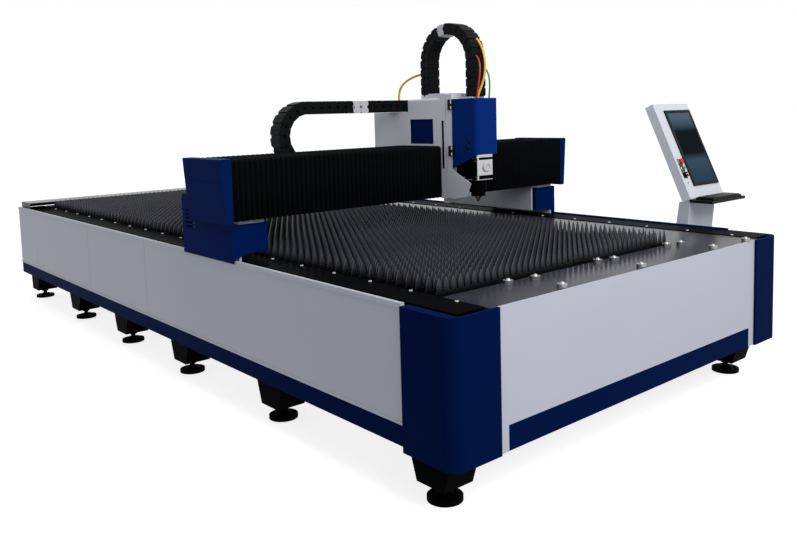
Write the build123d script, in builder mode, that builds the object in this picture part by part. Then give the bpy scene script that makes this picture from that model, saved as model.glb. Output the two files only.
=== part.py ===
from build123d import *
import math
import os

# Shared clearances
cut_overrun = 5.0
running_clearance = 0.05
slide_clearance = 0.5
body_clearance = 4.0

# Bed: overall size, side panels and deck
bed_length = 5400.0
bed_width = 2500.0
deck_top = 787.0
deck_plate_thick = 6.0
panel_thick = 4.0
panel_bottom = 316.0
panel_lip_width = 18.0
panel_lip_drop = 9.0
panel_lip_rise = 11.0
panel_lip_proud = 4.0
panel_foot_height = 10.0
panel_seam_width = 3.0
panel_seam_depth = 2.0
panel_seam_shares = (0.0004, -0.1839, -0.4139)
kick_bottom = 228.0
kick_thick = 3.0
front_skirt_bottom = 212.0
front_margin = 52.0
corner_length = 271.0
corner_reach = 12.0
corner_inner_y = 1009.0
corner_wall = 12.0
corner_radius = 60.0
corner_rim = 45.0
corner_rim_thick = 12.0

# Bed frame
tube_width = 185.0
tube_bottom = 240.0
tube_top = 480.0
tube_wall = 8.0
wall_thick = 6.0
ledge_width = 20.0
ledge_thick = 10.0
tube_front_setback = 60.0
pit_half_length = 2437.0
inner_wall_y = 641.0
cross_tube_width = 80.0
cross_tube_height = 80.0
cross_tube_shares = (-0.38, -0.19, 0.0, 0.19, 0.38)

# Levelling feet
foot_shares = (0.462, 0.243, 0.053, -0.116, -0.289, -0.481)
foot_pad_diameter = 146.0
foot_pad_height = 18.0
foot_cone_height = 14.0
foot_stud_diameter = 30.0
foot_nut_across = 46.0
foot_nut_height = 22.0
foot_bolt_diameter = 14.0
foot_bolt_height = 5.0
foot_bolt_circle = 108.0
foot_bolt_count = 4
bracket_base_z = 72.0
bracket_base_thick = 12.0
bracket_base_length = 156.0
bracket_top_length = 264.0
bracket_width = 156.0
bracket_inset = 25.0
bracket_wall = 10.0

# Rail covers, screws and deck plates
rail_cover_thick = 4.0
rail_cover_segments = 4
rail_cover_seam = 3.0
deck_seam = 2.0
rail_cover_end_gap = 12.0
cover_screw_diameter = 14.0
cover_screw_height = 4.0
cover_screw_count = 20
leg_slot_width = 30.0
side_plate_gap = 7.0
rear_plate_rise = 48.0
rear_plate_length = 240.0
rear_plate_half_width = 1225.0
rear_skirt_thick = 4.0
rear_skirt_gap = 2.0
rear_post_diameter = 40.0
rear_post_count = 5

# Ball transfer units on the front deck
ball_cup_diameter = 44.0
ball_cup_height = 16.0
ball_diameter = 24.0
ball_proud_share = 0.36
ball_place_shares = (
    (0.1, -0.655),
    (0.1, -0.055),
    (0.1, 0.513),
    (0.2, -0.517),
    (0.2, 0.034),
    (0.2, 0.603),
    (0.9, -0.562),
    (0.9, -0.015),
    (0.9, 0.598),
    (0.95, 0.902),
)

# Slats, their holders and the scrap tray
slat_count = 78
slat_groups = 4
slat_pitch = 62.4
slat_thick = 4.0
slat_near_y = -1047.0
slat_bottom = 700.0
slat_valley = 797.0
slat_tip = 857.0
slat_tooth_pitch = 40.0
slat_tooth_count = 42
slat_tooth_base = 28.0
holder_thick = 20.0
holder_bottom = 640.0
holder_top = 760.0
holder_slot_clearance = 0.6
tray_height = 110.0
tray_wall = 4.0
tray_gap = 30.0

# Drive along the bed
rail_width = 23.0
rail_height = 30.0
rail_from_panel = 51.0
block_width = 70.0
block_length = 110.0
block_lift = 7.0
block_height = 53.0
block_spacing = 380.0
gear_module = 5.0
gear_teeth = 12
gear_addendum = 3.25
gear_root_clearance = 1.0
gear_backlash = 0.4
gear_pressure_angle = 20.0
gear_width = 22.0
gear_floor_gap = 2.0
gear_flank_steps = 4
pinion_shaft_diameter = 24.0
pinion_shaft_entry = 20.0
rack_height = 25.0
rack_back = 18.0
rack_end_gap = 60.0
gantry_travel_rear = 2830.0
gantry_travel_front = 950.0
pinion_from_panel = 141.0
motor_size = 80.0
motor_gearbox_height = 70.0
motor_body_height = 110.0
motor_body_inset = 5.0
foot_plate_thick = 20.0

# Gantry legs, covers, end caps and beam
leg_rear_x = 640.0
leg_plate_thick = 12.0
leg_shelf_thick = 25.0
leg_box_width = 152.0
leg_box_bottom = 830.0
far_plate_rear_x = 400.0
far_plate_gap = 31.0
cover_rear_x = 591.0
cover_front_x = 1153.0
cover_step_x = 780.0
cover_reach = 12.0
cover_width = 202.0
cover_wall = 4.0
cover_bottom = 785.0
cover_front_lift = 801.0
cover_inner_bottom = 829.0
cover_slope_width = 72.0
cover_top = 980.0
cover_step_top = 1111.0
cover_corner_radius = 30.0
louvre_count = 5
louvre_length = 110.0
louvre_height = 8.0
louvre_pitch = 22.0
louvre_first_z = 930.0
beam_rear_x = 830.0
beam_front_x = 1110.0
beam_bottom = 1010.0
beam_top = 1250.0
beam_half_length = 1240.0
beam_wall = 10.0
beam_flange_inset = 20.0
beam_flange_thick = 12.0
cap_rear_x = 783.0
cap_front_x = 1197.0
cap_inner_y = 1275.0
cap_outer_top_y = 1335.0
cap_outer_bottom_y = 1312.0
cap_bottom = 989.0
cap_top = 1314.0
cap_seam_z = 1200.0
cap_seam = 3.0
cap_wall = 4.0
cap_edge_radius = 8.0

# Bellows over the beam
bellows_front_x = 1197.0
bellows_rear_x = 826.0
bellows_top = 1312.0
bellows_bottom = 1000.0
bellows_pleat_depth = 18.0
bellows_pleat_pitch = 30.0
bellows_wall = 3.0
bellows_carriage_gap = 5.0

# Drive along the beam
cross_rail_width = 23.0
cross_rail_height = 22.0
cross_block_width = 60.0
cross_block_length = 100.0
cross_block_lift = 7.0
cross_block_rise = 35.0
cross_block_spacing = 200.0
top_rail_x = 1070.0
front_rail_z = 1080.0
cross_rack_pitch_x = 930.0
cross_rack_height = 22.0
cross_rack_back = 18.0
cross_gear_width = 18.0
cross_rack_end_gap = 20.0

# Carriage: plate, housings and column
carriage_near_y = 140.0
carriage_width = 320.0
carriage_plate_thick = 12.0
carriage_front_bottom = 1020.0
housing_rear_x = 900.0
housing_top = 1599.0
housing_wall = 4.0
housing_edge_radius = 12.0
plinth_length = 104.0
plinth_height = 29.0
window_rear_gap = 14.0
window_front_gap = 65.0
window_bottom_gap = 26.0
window_top_gap = 124.0
window_panel_lap = 8.0
window_panel_thick = 3.0
rear_housing_x = 549.0
rear_housing_bottom = 1283.0
rear_housing_top = 1522.0
column_rear_x = 1192.0
column_depth = 44.0
column_width = 170.0
column_bottom = 995.0
column_top = 1626.0
column_back_thick = 12.0
column_wall = 8.0
column_cap_thick = 10.0
column_slot_bottom = 1180.0
column_slot_top = 1462.0
column_slot_width = 12.0
column_slot_setback = 16.0
column_foot_height = 27.0
column_foot_inset = 12.0

# Lift drive in the column
lift_rail_width = 15.0
lift_rail_height = 15.0
lift_rail_inset = 30.0
lift_rail_bottom = 1010.0
lift_rail_top = 1480.0
lift_block_width = 34.0
lift_block_length = 80.0
lift_block_lift = 6.0
lift_block_first_z = 1150.0
lift_block_spacing = 200.0
lift_screw_diameter = 16.0
lift_screw_bottom = 1012.0
lift_nut_width = 40.0
lift_nut_length = 60.0
lift_nut_z = 1200.0
lift_motor_width = 80.0
lift_motor_bottom = 1500.0
lift_motor_height = 110.0
lift_motor_gap = 2.0

# Head slide, brackets, cutting head and cover
slide_gap = 4.0
slide_depth = 50.0
slide_front_thick = 12.0
slide_wall = 8.0
slide_bottom = 1000.0
slide_top = 1620.0
head_axis_x = 1418.0
head_axis_y = 222.0
head_rear_x = 1360.0
head_front_x = 1480.0
head_near_y = 158.0
head_far_y = 290.0
head_bottom = 1115.0
head_top = 1300.0
head_edge_radius = 12.0
head_groove_z = 1228.0
head_groove_height = 16.0
head_groove_depth = 2.0
head_bracket_width = 96.0
head_bracket_bottom = 1125.0
head_bracket_top = 1270.0
collimator_diameter = 76.0
collimator_height = 190.0
connector_diameter = 40.0
connector_height = 70.0
lower_body_diameter = 104.0
lower_body_bottom = 1041.0
collar_diameter = 84.0
collar_bottom = 1017.0
nozzle_top_diameter = 46.0
nozzle_shoulder_z = 1002.0
nozzle_shoulder_diameter = 24.0
nozzle_tip_z = 982.0
nozzle_tip_diameter = 8.0
nozzle_bore = 3.0
guard_thick = 4.0
guard_reach = 150.0
guard_top = 1170.0
guard_bottom = 995.0
guard_point_shares = ((0.0, 0.0), (0.0, 1.0), (0.27, 0.886), (1.0, 0.571), (0.733, 0.114))
door_wall = 4.0
door_rear_x = 1297.0
door_front_x = 1500.0
door_near_y = 137.0
door_far_y = 307.0
door_return = 18.0
door_top = 1590.0
door_rear_bottom = 1179.0
door_front_bottom = 1266.0
door_edge_radius = 26.0
door_return_radius = 6.0
door_slot_count = 4
door_slot_length = 62.0
door_slot_width = 7.0
door_slot_pitch = 22.0
door_slot_first_z = 1274.0
door_slot_x = 1412.0
door_slot_tilt = 38.0
side_plate_thick = 4.0
side_plate_front_x = 1460.0
side_plate_bottom = 1200.0
side_plate_top = 1580.0
hinge_axis_x = 1293.0
hinge_axis_y = 132.5
hinge_knuckle_radius = 4.5
hinge_pin_radius = 2.5
hinge_height = 50.0
hinge_leaf_thick = 4.0
hinge_leaf_length = 28.0
hinge_knuckle_gap = 0.5
hinge_leaf_gap = 1.5
hinge_bottoms = (1258.0, 1532.0)

# Drag chains
chain_link_share = 0.72
chain_core_share = 0.84
cross_chain_thick = 75.0
cross_chain_width = 100.0
cross_chain_pitch = 58.0
cross_chain_gap = 12.0
cross_chain_radius = 162.5
cross_chain_lift = 1.0
cross_chain_fixed_y = 0.0
cross_chain_loop_y = -560.0
cross_chain_overlap = 100.0
cross_tray_thick = 8.0
cross_tray_near_y = -1100.0
cross_tray_far_y = 20.0
arch_thick = 67.0
arch_width = 100.0
arch_pitch = 54.0
arch_left_x = 991.5
arch_right_x = 1386.5
arch_near_y = 200.0
arch_centre_z = 1814.0
arch_seat_height = 24.0
arch_end_z = 1602.0
arch_arm_thick = 14.0
arch_arm_reach = 115.0
chain_seat_clearance = 0.3

# Cables and hoses
fibre_diameter = 14.0
hose_diameter = 10.0
bend_share = 0.45
fibre_cable_route = (
    (744.0, 200.0, 1598.4),
    (744.0, 200.0, 1645.0),
    (768.0, 205.0, 1692.0),
    (818.0, 215.0, 1726.0),
    (876.0, 230.0, 1747.0),
    (918.0, 243.0, 1757.0),
    (957.5, 243.0, 1757.0),
)
fibre_tail_route = (
    (1348.0, 272.0, 1966.0),
    (1394.0, 274.0, 1926.0),
    (1430.0, 272.0, 1868.0),
    (1449.0, 268.0, 1800.0),
    (1452.0, 261.0, 1732.0),
    (1441.0, 246.0, 1666.0),
    (1424.0, 229.0, 1612.0),
    (1418.0, 222.0, 1560.0),
)
red_hose_route = (
    (1400.0, 225.0, 1846.0),
    (1440.0, 216.0, 1830.0),
    (1466.0, 206.0, 1786.0),
    (1473.0, 196.0, 1722.0),
    (1466.0, 188.0, 1650.0),
    (1454.0, 184.0, 1574.0),
    (1446.0, 180.0, 1490.0),
    (1442.0, 175.0, 1400.0),
    (1440.0, 172.0, 1300.0),
)
green_hose_route = (
    (1400.0, 285.0, 1776.0),
    (1436.0, 287.0, 1762.0),
    (1460.0, 287.0, 1722.0),
    (1467.0, 285.0, 1660.0),
    (1462.0, 282.0, 1590.0),
    (1456.0, 279.0, 1510.0),
    (1453.0, 276.0, 1410.0),
    (1452.0, 275.0, 1300.0),
)

# Console
console_near_y = 1600.0
console_width = 433.0
console_top_x = 1714.0
console_top_z = 1528.0
console_foot_x = 1994.0
console_foot_z = 909.0
console_thick = 62.0
pedestal_width = 323.0
pedestal_inset = 4.0
pedestal_rear_x = 1788.0
pedestal_front_x = 1903.0
pedestal_top_front_x = 1989.0
pedestal_top_rear_x = 1912.0
base_plate_rear_x = 1650.0
base_plate_front_x = 2100.0
base_plate_thick = 12.0
base_plate_margin = 20.0
base_plate_radius = 20.0
screen_width = 322.0
screen_height = 548.0
screen_bottom = 81.0
screen_proud = 8.0
screen_side_margin = 14.0
screen_bezel = 22.0
screen_glass_drop = 2.0
control_strip_centre = 46.0
control_plate_size = 44.0
control_plate_thick = 2.0
stop_place = 258.0
start_place = 212.0
selector_place = 165.0
stop_head_diameter = 38.0
stop_head_height = 16.0
stop_stem_diameter = 22.0
start_cap_diameter = 26.0
start_cap_height = 10.0
button_travel = 5.0
button_bore_depth = 30.0
button_stem_gap = 8.0
selector_diameter = 30.0
selector_height = 9.0
selector_grip_width = 9.0
selector_grip_height = 12.0
selector_lift = 0.4
indicator_diameter = 8.0
indicator_height = 3.0
indicator_place = 109.0
shelf_front_x = 2144.0
shelf_bottom = 885.0
shelf_top = 903.0
keyboard_length = 124.0
keyboard_width = 360.0
keyboard_height = 14.0
keyboard_front_gap = 8.0
key_columns = 14
key_rows = 5
key_gap = 3.0
key_height = 5.0
keyboard_border = 8.0

# Places worked out from the sizes
near = -1
far = 1
half_length = bed_length / 2
half_width = bed_width / 2
panel_inner_y = half_width - panel_thick
trim_outer_y = half_width + panel_lip_proud
trim_inner_y = trim_outer_y - panel_lip_width
tube_inner_y = panel_inner_y - tube_width
wall_inner_y = tube_inner_y - wall_thick
frame_half_length = half_length - panel_thick - wall_thick
tube_front_x = half_length - tube_front_setback
corner_rear_x = half_length - corner_length
deck_under = deck_top - deck_plate_thick
deck_half_width = wall_inner_y - side_plate_gap
rail_cover_outer_y = trim_inner_y - leg_slot_width
slot_centre_y = (trim_inner_y + rail_cover_outer_y) / 2
bed_rail_y = panel_inner_y - rail_from_panel
pinion_y = panel_inner_y - pinion_from_panel
gear_radius = gear_module * gear_teeth / 2
gear_pitch = math.pi * gear_module
slat_far_y = slat_near_y + slat_tooth_pitch * slat_tooth_count
slat_first_x = slat_pitch * (slat_count - 1) / 2
foot_plate_bottom = tube_top + block_lift + block_height
foot_plate_top = foot_plate_bottom + foot_plate_thick
leg_front_x = cover_front_x - cover_wall
leg_centre_x = (leg_rear_x + leg_front_x) / 2
leg_outer_y = slot_centre_y + leg_plate_thick / 2
shelf_rear_x = cover_step_x + body_clearance
cover_outer_y = half_width + cover_reach
cover_inner_y = cover_outer_y - cover_width
carriage_far_y = carriage_near_y + carriage_width
carriage_centre_y = carriage_near_y + carriage_width / 2
carriage_plate_bottom = beam_top + cross_block_rise
carriage_plate_top = carriage_plate_bottom + carriage_plate_thick
carriage_front_x = beam_front_x + cross_block_rise
cross_pinion_x = cross_rack_pitch_x + gear_radius
cross_chain_front_x = beam_rear_x - cross_chain_gap
cross_chain_centre_x = cross_chain_front_x - cross_chain_width / 2
cross_chain_upper_z = rear_housing_top + cross_chain_lift + cross_chain_thick / 2
cross_chain_centre_z = cross_chain_upper_z - cross_chain_radius
column_front_x = column_rear_x + column_depth
column_far_y = carriage_near_y + column_width
column_inside_x = column_rear_x + column_back_thick
lift_axis_y = carriage_near_y + column_width / 2
lift_axis_x = (column_inside_x + column_front_x) / 2
slide_rear_x = column_front_x + slide_gap
slide_front_x = slide_rear_x + slide_depth
slide_plate_x = slide_front_x - slide_front_thick


# Helpers
def span_on(side, inner, outer):
    """Return the low and high Y of a piece between two distances from the centre line."""
    return (inner, outer) if side > 0 else (-outer, -inner)


def block(x_span, y_span, z_span, mode=Mode.ADD):
    """Add or cut a box between three spans in the part that is being built."""
    spans = (x_span, y_span, z_span)
    with Locations(tuple((low + high) / 2 for low, high in spans)):
        Box(*(high - low for low, high in spans), mode=mode)


def side_plane(y):
    """Return a plane across Y whose local axes are X and Z; it extrudes towards minus Y."""
    return Plane(origin=(0, y, 0), x_dir=(1, 0, 0), z_dir=(0, -1, 0))


def end_plane(x):
    """Return a plane across X whose local axes are Y and Z; it extrudes towards plus X."""
    return Plane(origin=(x, 0, 0), x_dir=(0, 1, 0), z_dir=(1, 0, 0))


def prism(plane, points, depth, mode=Mode.ADD):
    """Add or cut a polygon on a plane, extruded by a depth, in the part that is being built."""
    with BuildSketch(plane) as outline:
        with BuildLine():
            Polyline(*points, close=True)
        make_face()
    extrude(outline.sketch, amount=depth, mode=mode)


def rod(x, y, z_span, diameter, mode=Mode.ADD):
    """Add or cut an upright cylinder between two heights in the part that is being built."""
    with Locations((x, y, (z_span[0] + z_span[1]) / 2)):
        Cylinder(diameter / 2, z_span[1] - z_span[0], mode=mode)


def finish(builder, name):
    """Label a finished piece and write it to its own file."""
    builder.part.label = name
    export_step(builder.part, f"parts/{name}.step")


def involute(angle):
    """Return the involute function of an angle in radians."""
    return math.tan(angle) - angle


def gear_points(tooth_direction):
    """Return the outline of the drive pinion with one tooth pointing along a direction in radians."""
    pressure = math.radians(gear_pressure_angle)
    base_radius = gear_radius * math.cos(pressure)
    tip_radius = gear_radius + gear_addendum
    root_radius = gear_radius - gear_addendum - gear_root_clearance
    half_tooth = math.pi / (2 * gear_teeth) - gear_backlash / (4 * gear_radius)
    flank = []
    for step in range(gear_flank_steps + 1):
        radius = base_radius + (tip_radius - base_radius) * step / gear_flank_steps
        turn = half_tooth + involute(pressure) - involute(math.acos(base_radius / radius))
        flank.append((radius, turn))
    flank.insert(0, (root_radius, flank[0][1]))
    points = []
    for tooth in range(gear_teeth):
        middle = tooth_direction + 2 * math.pi * tooth / gear_teeth
        rising = [(radius, middle - turn) for radius, turn in flank]
        falling = [(radius, middle + turn) for radius, turn in reversed(flank)]
        points += [(radius * math.cos(angle), radius * math.sin(angle)) for radius, angle in rising + falling]
    return points


def pinion(x, y, z_bottom, width, shaft_top, tooth_direction):
    """Add a drive pinion with its shaft to the part that is being built."""
    points = [(x + dx, y + dy) for dx, dy in gear_points(tooth_direction)]
    prism(Plane.XY.offset(z_bottom), points, width)
    rod(x, y, (z_bottom, shaft_top), pinion_shaft_diameter)


def rack_points(low, high, centre, back):
    """Return a rack outline: run along the first axis, teeth towards plus on the second.

    The pitch line is at zero on the second axis, and a tooth gap is centred on the given place.
    """
    slope = math.tan(math.radians(gear_pressure_angle))
    half_pitch_width = gear_pitch / 4 - gear_backlash / 4
    tip_half = half_pitch_width - gear_addendum * slope
    root_drop = gear_addendum + gear_root_clearance
    root_half = half_pitch_width + root_drop * slope
    first = math.ceil((low + root_half - centre) / gear_pitch - 0.5)
    last = math.floor((high - root_half - centre) / gear_pitch - 0.5)
    points = [(low, -back), (low, -root_drop)]
    for index in range(first, last + 1):
        middle = centre + (index + 0.5) * gear_pitch
        points.append((middle - root_half, -root_drop))
        points.append((middle - tip_half, gear_addendum))
        points.append((middle + tip_half, gear_addendum))
        points.append((middle + root_half, -root_drop))
    points += [(high, -root_drop), (high, -back)]
    return points


def motor(x, y, z_bottom):
    """Add an upright drive motor with its gearbox and shaft bore to the part that is being built."""
    half = motor_size / 2
    body_half = half - motor_body_inset
    gearbox_top = z_bottom + motor_gearbox_height
    block((x - half, x + half), (y - half, y + half), (z_bottom, gearbox_top))
    body_span = (gearbox_top, gearbox_top + motor_body_height)
    block((x - body_half, x + body_half), (y - body_half, y + body_half), body_span)
    bore = pinion_shaft_diameter + 2 * running_clearance
    rod(x, y, (z_bottom - cut_overrun, z_bottom + pinion_shaft_entry + slide_clearance), bore, Mode.SUBTRACT)


os.makedirs("parts", exist_ok=True)

# Bed frame: side tubes, channel walls, end plates and deck supports
foot_places = [(share * bed_length, side) for share in foot_shares for side in (near, far)]
bracket_inner_y = wall_inner_y - bracket_inset
bracket_outer_y = bracket_inner_y + bracket_width
foot_y = bracket_inner_y + bracket_width / 2
bracket_base_top = bracket_base_z + bracket_base_thick
with BuildPart() as bed_frame:
    for side in (near, far):
        tube_x = (-frame_half_length, tube_front_x)
        block(tube_x, span_on(side, tube_inner_y, panel_inner_y), (tube_bottom, tube_top))
        hollow_x = (-frame_half_length - cut_overrun, tube_front_x + cut_overrun)
        hollow_y = span_on(side, tube_inner_y + tube_wall, panel_inner_y - tube_wall)
        block(hollow_x, hollow_y, (tube_bottom + tube_wall, tube_top - tube_wall), Mode.SUBTRACT)
        wall_y = span_on(side, wall_inner_y, tube_inner_y)
        block((-frame_half_length, frame_half_length), wall_y, (tube_bottom, deck_top))
    for end in (-1, 1):
        plate_x = span_on(end, frame_half_length, frame_half_length + wall_thick)
        block(plate_x, (-tube_inner_y, tube_inner_y), (tube_bottom, deck_under))
        plate_x = span_on(end, pit_half_length, pit_half_length + wall_thick)
        block(plate_x, (-wall_inner_y, wall_inner_y), (tube_bottom, deck_under))
    pit_x = (-pit_half_length, pit_half_length)
    block(pit_x, (inner_wall_y, inner_wall_y + wall_thick), (tube_bottom, deck_under))
    block(pit_x, (wall_inner_y - ledge_width, wall_inner_y), (deck_under - ledge_thick, deck_under))
    rear_deck_x = (-frame_half_length, -pit_half_length)
    block(rear_deck_x, (-wall_inner_y, wall_inner_y), (deck_under - wall_thick, deck_under))
finish(bed_frame, "bed_frame")

# Cross tubes between the walls
with BuildPart() as cross_tubes:
    for share in cross_tube_shares:
        middle = share * bed_length
        tube_x = (middle - cross_tube_width / 2, middle + cross_tube_width / 2)
        tube_z = (tube_bottom, tube_bottom + cross_tube_height)
        hollow_x = (tube_x[0] + tube_wall, tube_x[1] - tube_wall)
        hollow_z = (tube_z[0] + tube_wall, tube_z[1] - tube_wall)
        for tube_y in ((-wall_inner_y, inner_wall_y), (inner_wall_y + wall_thick, wall_inner_y)):
            block(tube_x, tube_y, tube_z)
            block(hollow_x, tube_y, hollow_z, Mode.SUBTRACT)
finish(cross_tubes, "cross_tubes")

# Levelling feet: hollow bracket, pad, cone, stud and two nuts
with BuildPart() as levelling_feet:
    for foot_x, side in foot_places:
        centre_y = side * foot_y
        base_half = bracket_base_length / 2
        top_rear_x = max(foot_x - bracket_top_length / 2, -half_length + panel_thick)
        top_front_x = foot_x + bracket_top_length / 2
        shell = [
            (foot_x - base_half, bracket_base_z),
            (foot_x + base_half, bracket_base_z),
            (top_front_x, tube_bottom),
            (top_rear_x, tube_bottom),
        ]
        shell_y = span_on(side, bracket_inner_y, bracket_outer_y)
        prism(side_plane(shell_y[1]), shell, bracket_width)
        hollow = [
            (foot_x - base_half + bracket_wall, bracket_base_top),
            (foot_x + base_half - bracket_wall, bracket_base_top),
            (top_front_x - bracket_wall, tube_bottom + cut_overrun),
            (top_rear_x + bracket_wall, tube_bottom + cut_overrun),
        ]
        hollow_y = span_on(side, bracket_inner_y - cut_overrun, bracket_outer_y - bracket_wall)
        prism(side_plane(hollow_y[1]), hollow, hollow_y[1] - hollow_y[0], Mode.SUBTRACT)
        cone_top = foot_pad_height + foot_cone_height
        rod(foot_x, centre_y, (0, foot_pad_height), foot_pad_diameter)
        with Locations((foot_x, centre_y, foot_pad_height + foot_cone_height / 2)):
            Cone(foot_bolt_circle / 2 - foot_bolt_diameter, foot_nut_across / 2, foot_cone_height)
        stud_top = bracket_base_top + 2 * foot_nut_height
        rod(foot_x, centre_y, (cone_top, stud_top), foot_stud_diameter)
        for nut_z in (bracket_base_z - foot_nut_height, bracket_base_top):
            with BuildSketch(Plane.XY.offset(nut_z)):
                with Locations((foot_x, centre_y)):
                    RegularPolygon(foot_nut_across / 2, side_count=6, major_radius=False)
            extrude(amount=foot_nut_height)
        with Locations((foot_x, centre_y, foot_pad_height + foot_bolt_height / 2)):
            with PolarLocations(foot_bolt_circle / 2, foot_bolt_count, start_angle=45):
                Cylinder(foot_bolt_diameter / 2, foot_bolt_height)
finish(levelling_feet, "levelling_feet")

# Side panels with their seams and turned-out foot, and the edge trim on their tops
panel_x = (-half_length, corner_rear_x)


def seam_cuts(side, surface_y, z_span):
    """Cut the upright seams between panel lengths into the outer face of the part being built."""
    for share in panel_seam_shares:
        seam_x = share * bed_length
        seam_span = (seam_x - panel_seam_width / 2, seam_x + panel_seam_width / 2)
        seam_y = span_on(side, surface_y - panel_seam_depth, trim_outer_y + cut_overrun)
        block(seam_span, seam_y, (z_span[0] - cut_overrun, z_span[1] + cut_overrun), Mode.SUBTRACT)


def panel_sheet(side):
    """Add a side panel with its turned-out foot and its seams to the part being built."""
    block(panel_x, span_on(side, panel_inner_y, half_width), (panel_bottom, deck_top))
    block(panel_x, span_on(side, half_width, trim_outer_y), (panel_bottom, panel_bottom + panel_foot_height))
    seam_cuts(side, half_width, (panel_bottom, deck_top))


def edge_lip(side):
    """Add the lip along the top of a side panel, with its seams, to the part being built."""
    block(panel_x, span_on(side, trim_inner_y, trim_outer_y), (deck_top, deck_top + panel_lip_rise))
    block(panel_x, span_on(side, half_width, trim_outer_y), (deck_top - panel_lip_drop, deck_top))
    seam_cuts(side, trim_outer_y, (deck_top - panel_lip_drop, deck_top + panel_lip_rise))


with BuildPart() as near_side_panel:
    panel_sheet(near)
    edge_lip(near)
finish(near_side_panel, "near_side_panel")

with BuildPart() as far_side_panel:
    panel_sheet(far)
finish(far_side_panel, "far_side_panel")

with BuildPart() as far_edge_trim:
    edge_lip(far)
finish(far_edge_trim, "far_edge_trim")

# Front panel with its strip window, rear panel and the dark kick strips
strip_half = corner_inner_y - front_margin
with BuildPart() as front_panel:
    front_x = (half_length - panel_thick, half_length)
    block(front_x, (-corner_inner_y, corner_inner_y), (front_skirt_bottom, deck_top))
    window_x = (front_x[0] - cut_overrun, front_x[1] + cut_overrun)
    window_z = (front_skirt_bottom - cut_overrun, panel_bottom)
    block(window_x, (-strip_half, strip_half), window_z, Mode.SUBTRACT)
finish(front_panel, "front_panel")

with BuildPart() as rear_panel:
    rear_x = (-half_length, -half_length + panel_thick)
    block(rear_x, (-panel_inner_y, panel_inner_y), (kick_bottom, deck_top))
finish(rear_panel, "rear_panel")

with BuildPart() as kick_strips:
    for side in (near, far):
        strip_y = span_on(side, panel_inner_y, panel_inner_y + kick_thick)
        block((-half_length, corner_rear_x), strip_y, (kick_bottom, panel_bottom))
    strip_x = (front_x[0], front_x[0] + kick_thick)
    block(strip_x, (-strip_half, strip_half), (front_skirt_bottom, panel_bottom))
finish(kick_strips, "kick_strips")

# Corner covers at the two front corners, with a rounded upright edge and a flat rim
corner_outer_x = half_length + corner_reach
corner_outer_y = half_width + corner_reach
corner_inside_x = corner_outer_x - corner_wall
corner_inside_y = corner_outer_y - corner_wall
corner_start = (corner_rear_x - cut_overrun, -corner_inside_y)
corner_end = (corner_inside_x, -corner_inner_y + cut_overrun)
with BuildPart() as corner_covers:
    corner_y = (-corner_outer_y, -corner_inner_y)
    block((corner_rear_x, corner_outer_x), corner_y, (front_skirt_bottom, deck_top))
    front_edges = corner_covers.edges().filter_by(Axis.Z).group_by(Axis.X)[-1]
    fillet(front_edges.sort_by(Axis.Y)[0], corner_radius)
    with BuildSketch(Plane.XY.offset(front_skirt_bottom - cut_overrun)):
        with BuildLine():
            FilletPolyline(
                corner_start,
                (corner_inside_x, -corner_inside_y),
                corner_end,
                radius=corner_radius - corner_wall,
            )
            Polyline(corner_end, (corner_start[0], corner_end[1]), corner_start)
        make_face()
    extrude(amount=deck_top - corner_rim_thick - front_skirt_bottom + cut_overrun, mode=Mode.SUBTRACT)
    rim_x = (corner_rear_x - cut_overrun, corner_inside_x)
    rim_y = (-corner_outer_y + corner_rim, -corner_inner_y + cut_overrun)
    rim_z = (deck_top - corner_rim_thick - cut_overrun, deck_top + cut_overrun)
    block(rim_x, rim_y, rim_z, Mode.SUBTRACT)
    mirror(about=Plane.XZ)
finish(corner_covers, "corner_covers")

# Rail covers over the drive channels, with seams and screw heads
cover_x = (-frame_half_length + rail_cover_end_gap, frame_half_length - rail_cover_end_gap)
cover_top_z = deck_top + rail_cover_thick
segment_length = (cover_x[1] - cover_x[0]) / rail_cover_segments
screw_pitch = (cover_x[1] - cover_x[0]) / cover_screw_count
with BuildPart() as rail_covers:
    for side in (near, far):
        block(cover_x, span_on(side, wall_inner_y, rail_cover_outer_y), (deck_top, cover_top_z))
        for index in range(1, rail_cover_segments):
            seam_x = cover_x[0] + index * segment_length
            seam_span = (seam_x - rail_cover_seam / 2, seam_x + rail_cover_seam / 2)
            seam_y = span_on(side, wall_inner_y - cut_overrun, rail_cover_outer_y + cut_overrun)
            seam_z = (deck_top + rail_cover_thick / 2, cover_top_z + cut_overrun)
            block(seam_span, seam_y, seam_z, Mode.SUBTRACT)
        for index in range(cover_screw_count):
            screw_x = cover_x[0] + (index + 0.5) * screw_pitch
            screw_y = side * (wall_inner_y + cover_screw_diameter)
            rod(screw_x, screw_y, (cover_top_z, cover_top_z + cover_screw_height), cover_screw_diameter)
finish(rail_covers, "rail_covers")

# Deck plates at the front and along the far side
deck_x = (pit_half_length, half_length - panel_thick)
with BuildPart() as deck_plates:
    block(deck_x, (-deck_half_width, deck_half_width), (deck_under, deck_top))
    side_deck_x = (-pit_half_length, pit_half_length - deck_seam)
    block(side_deck_x, (inner_wall_y, deck_half_width), (deck_under, deck_top))
finish(deck_plates, "deck_plates")

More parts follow.
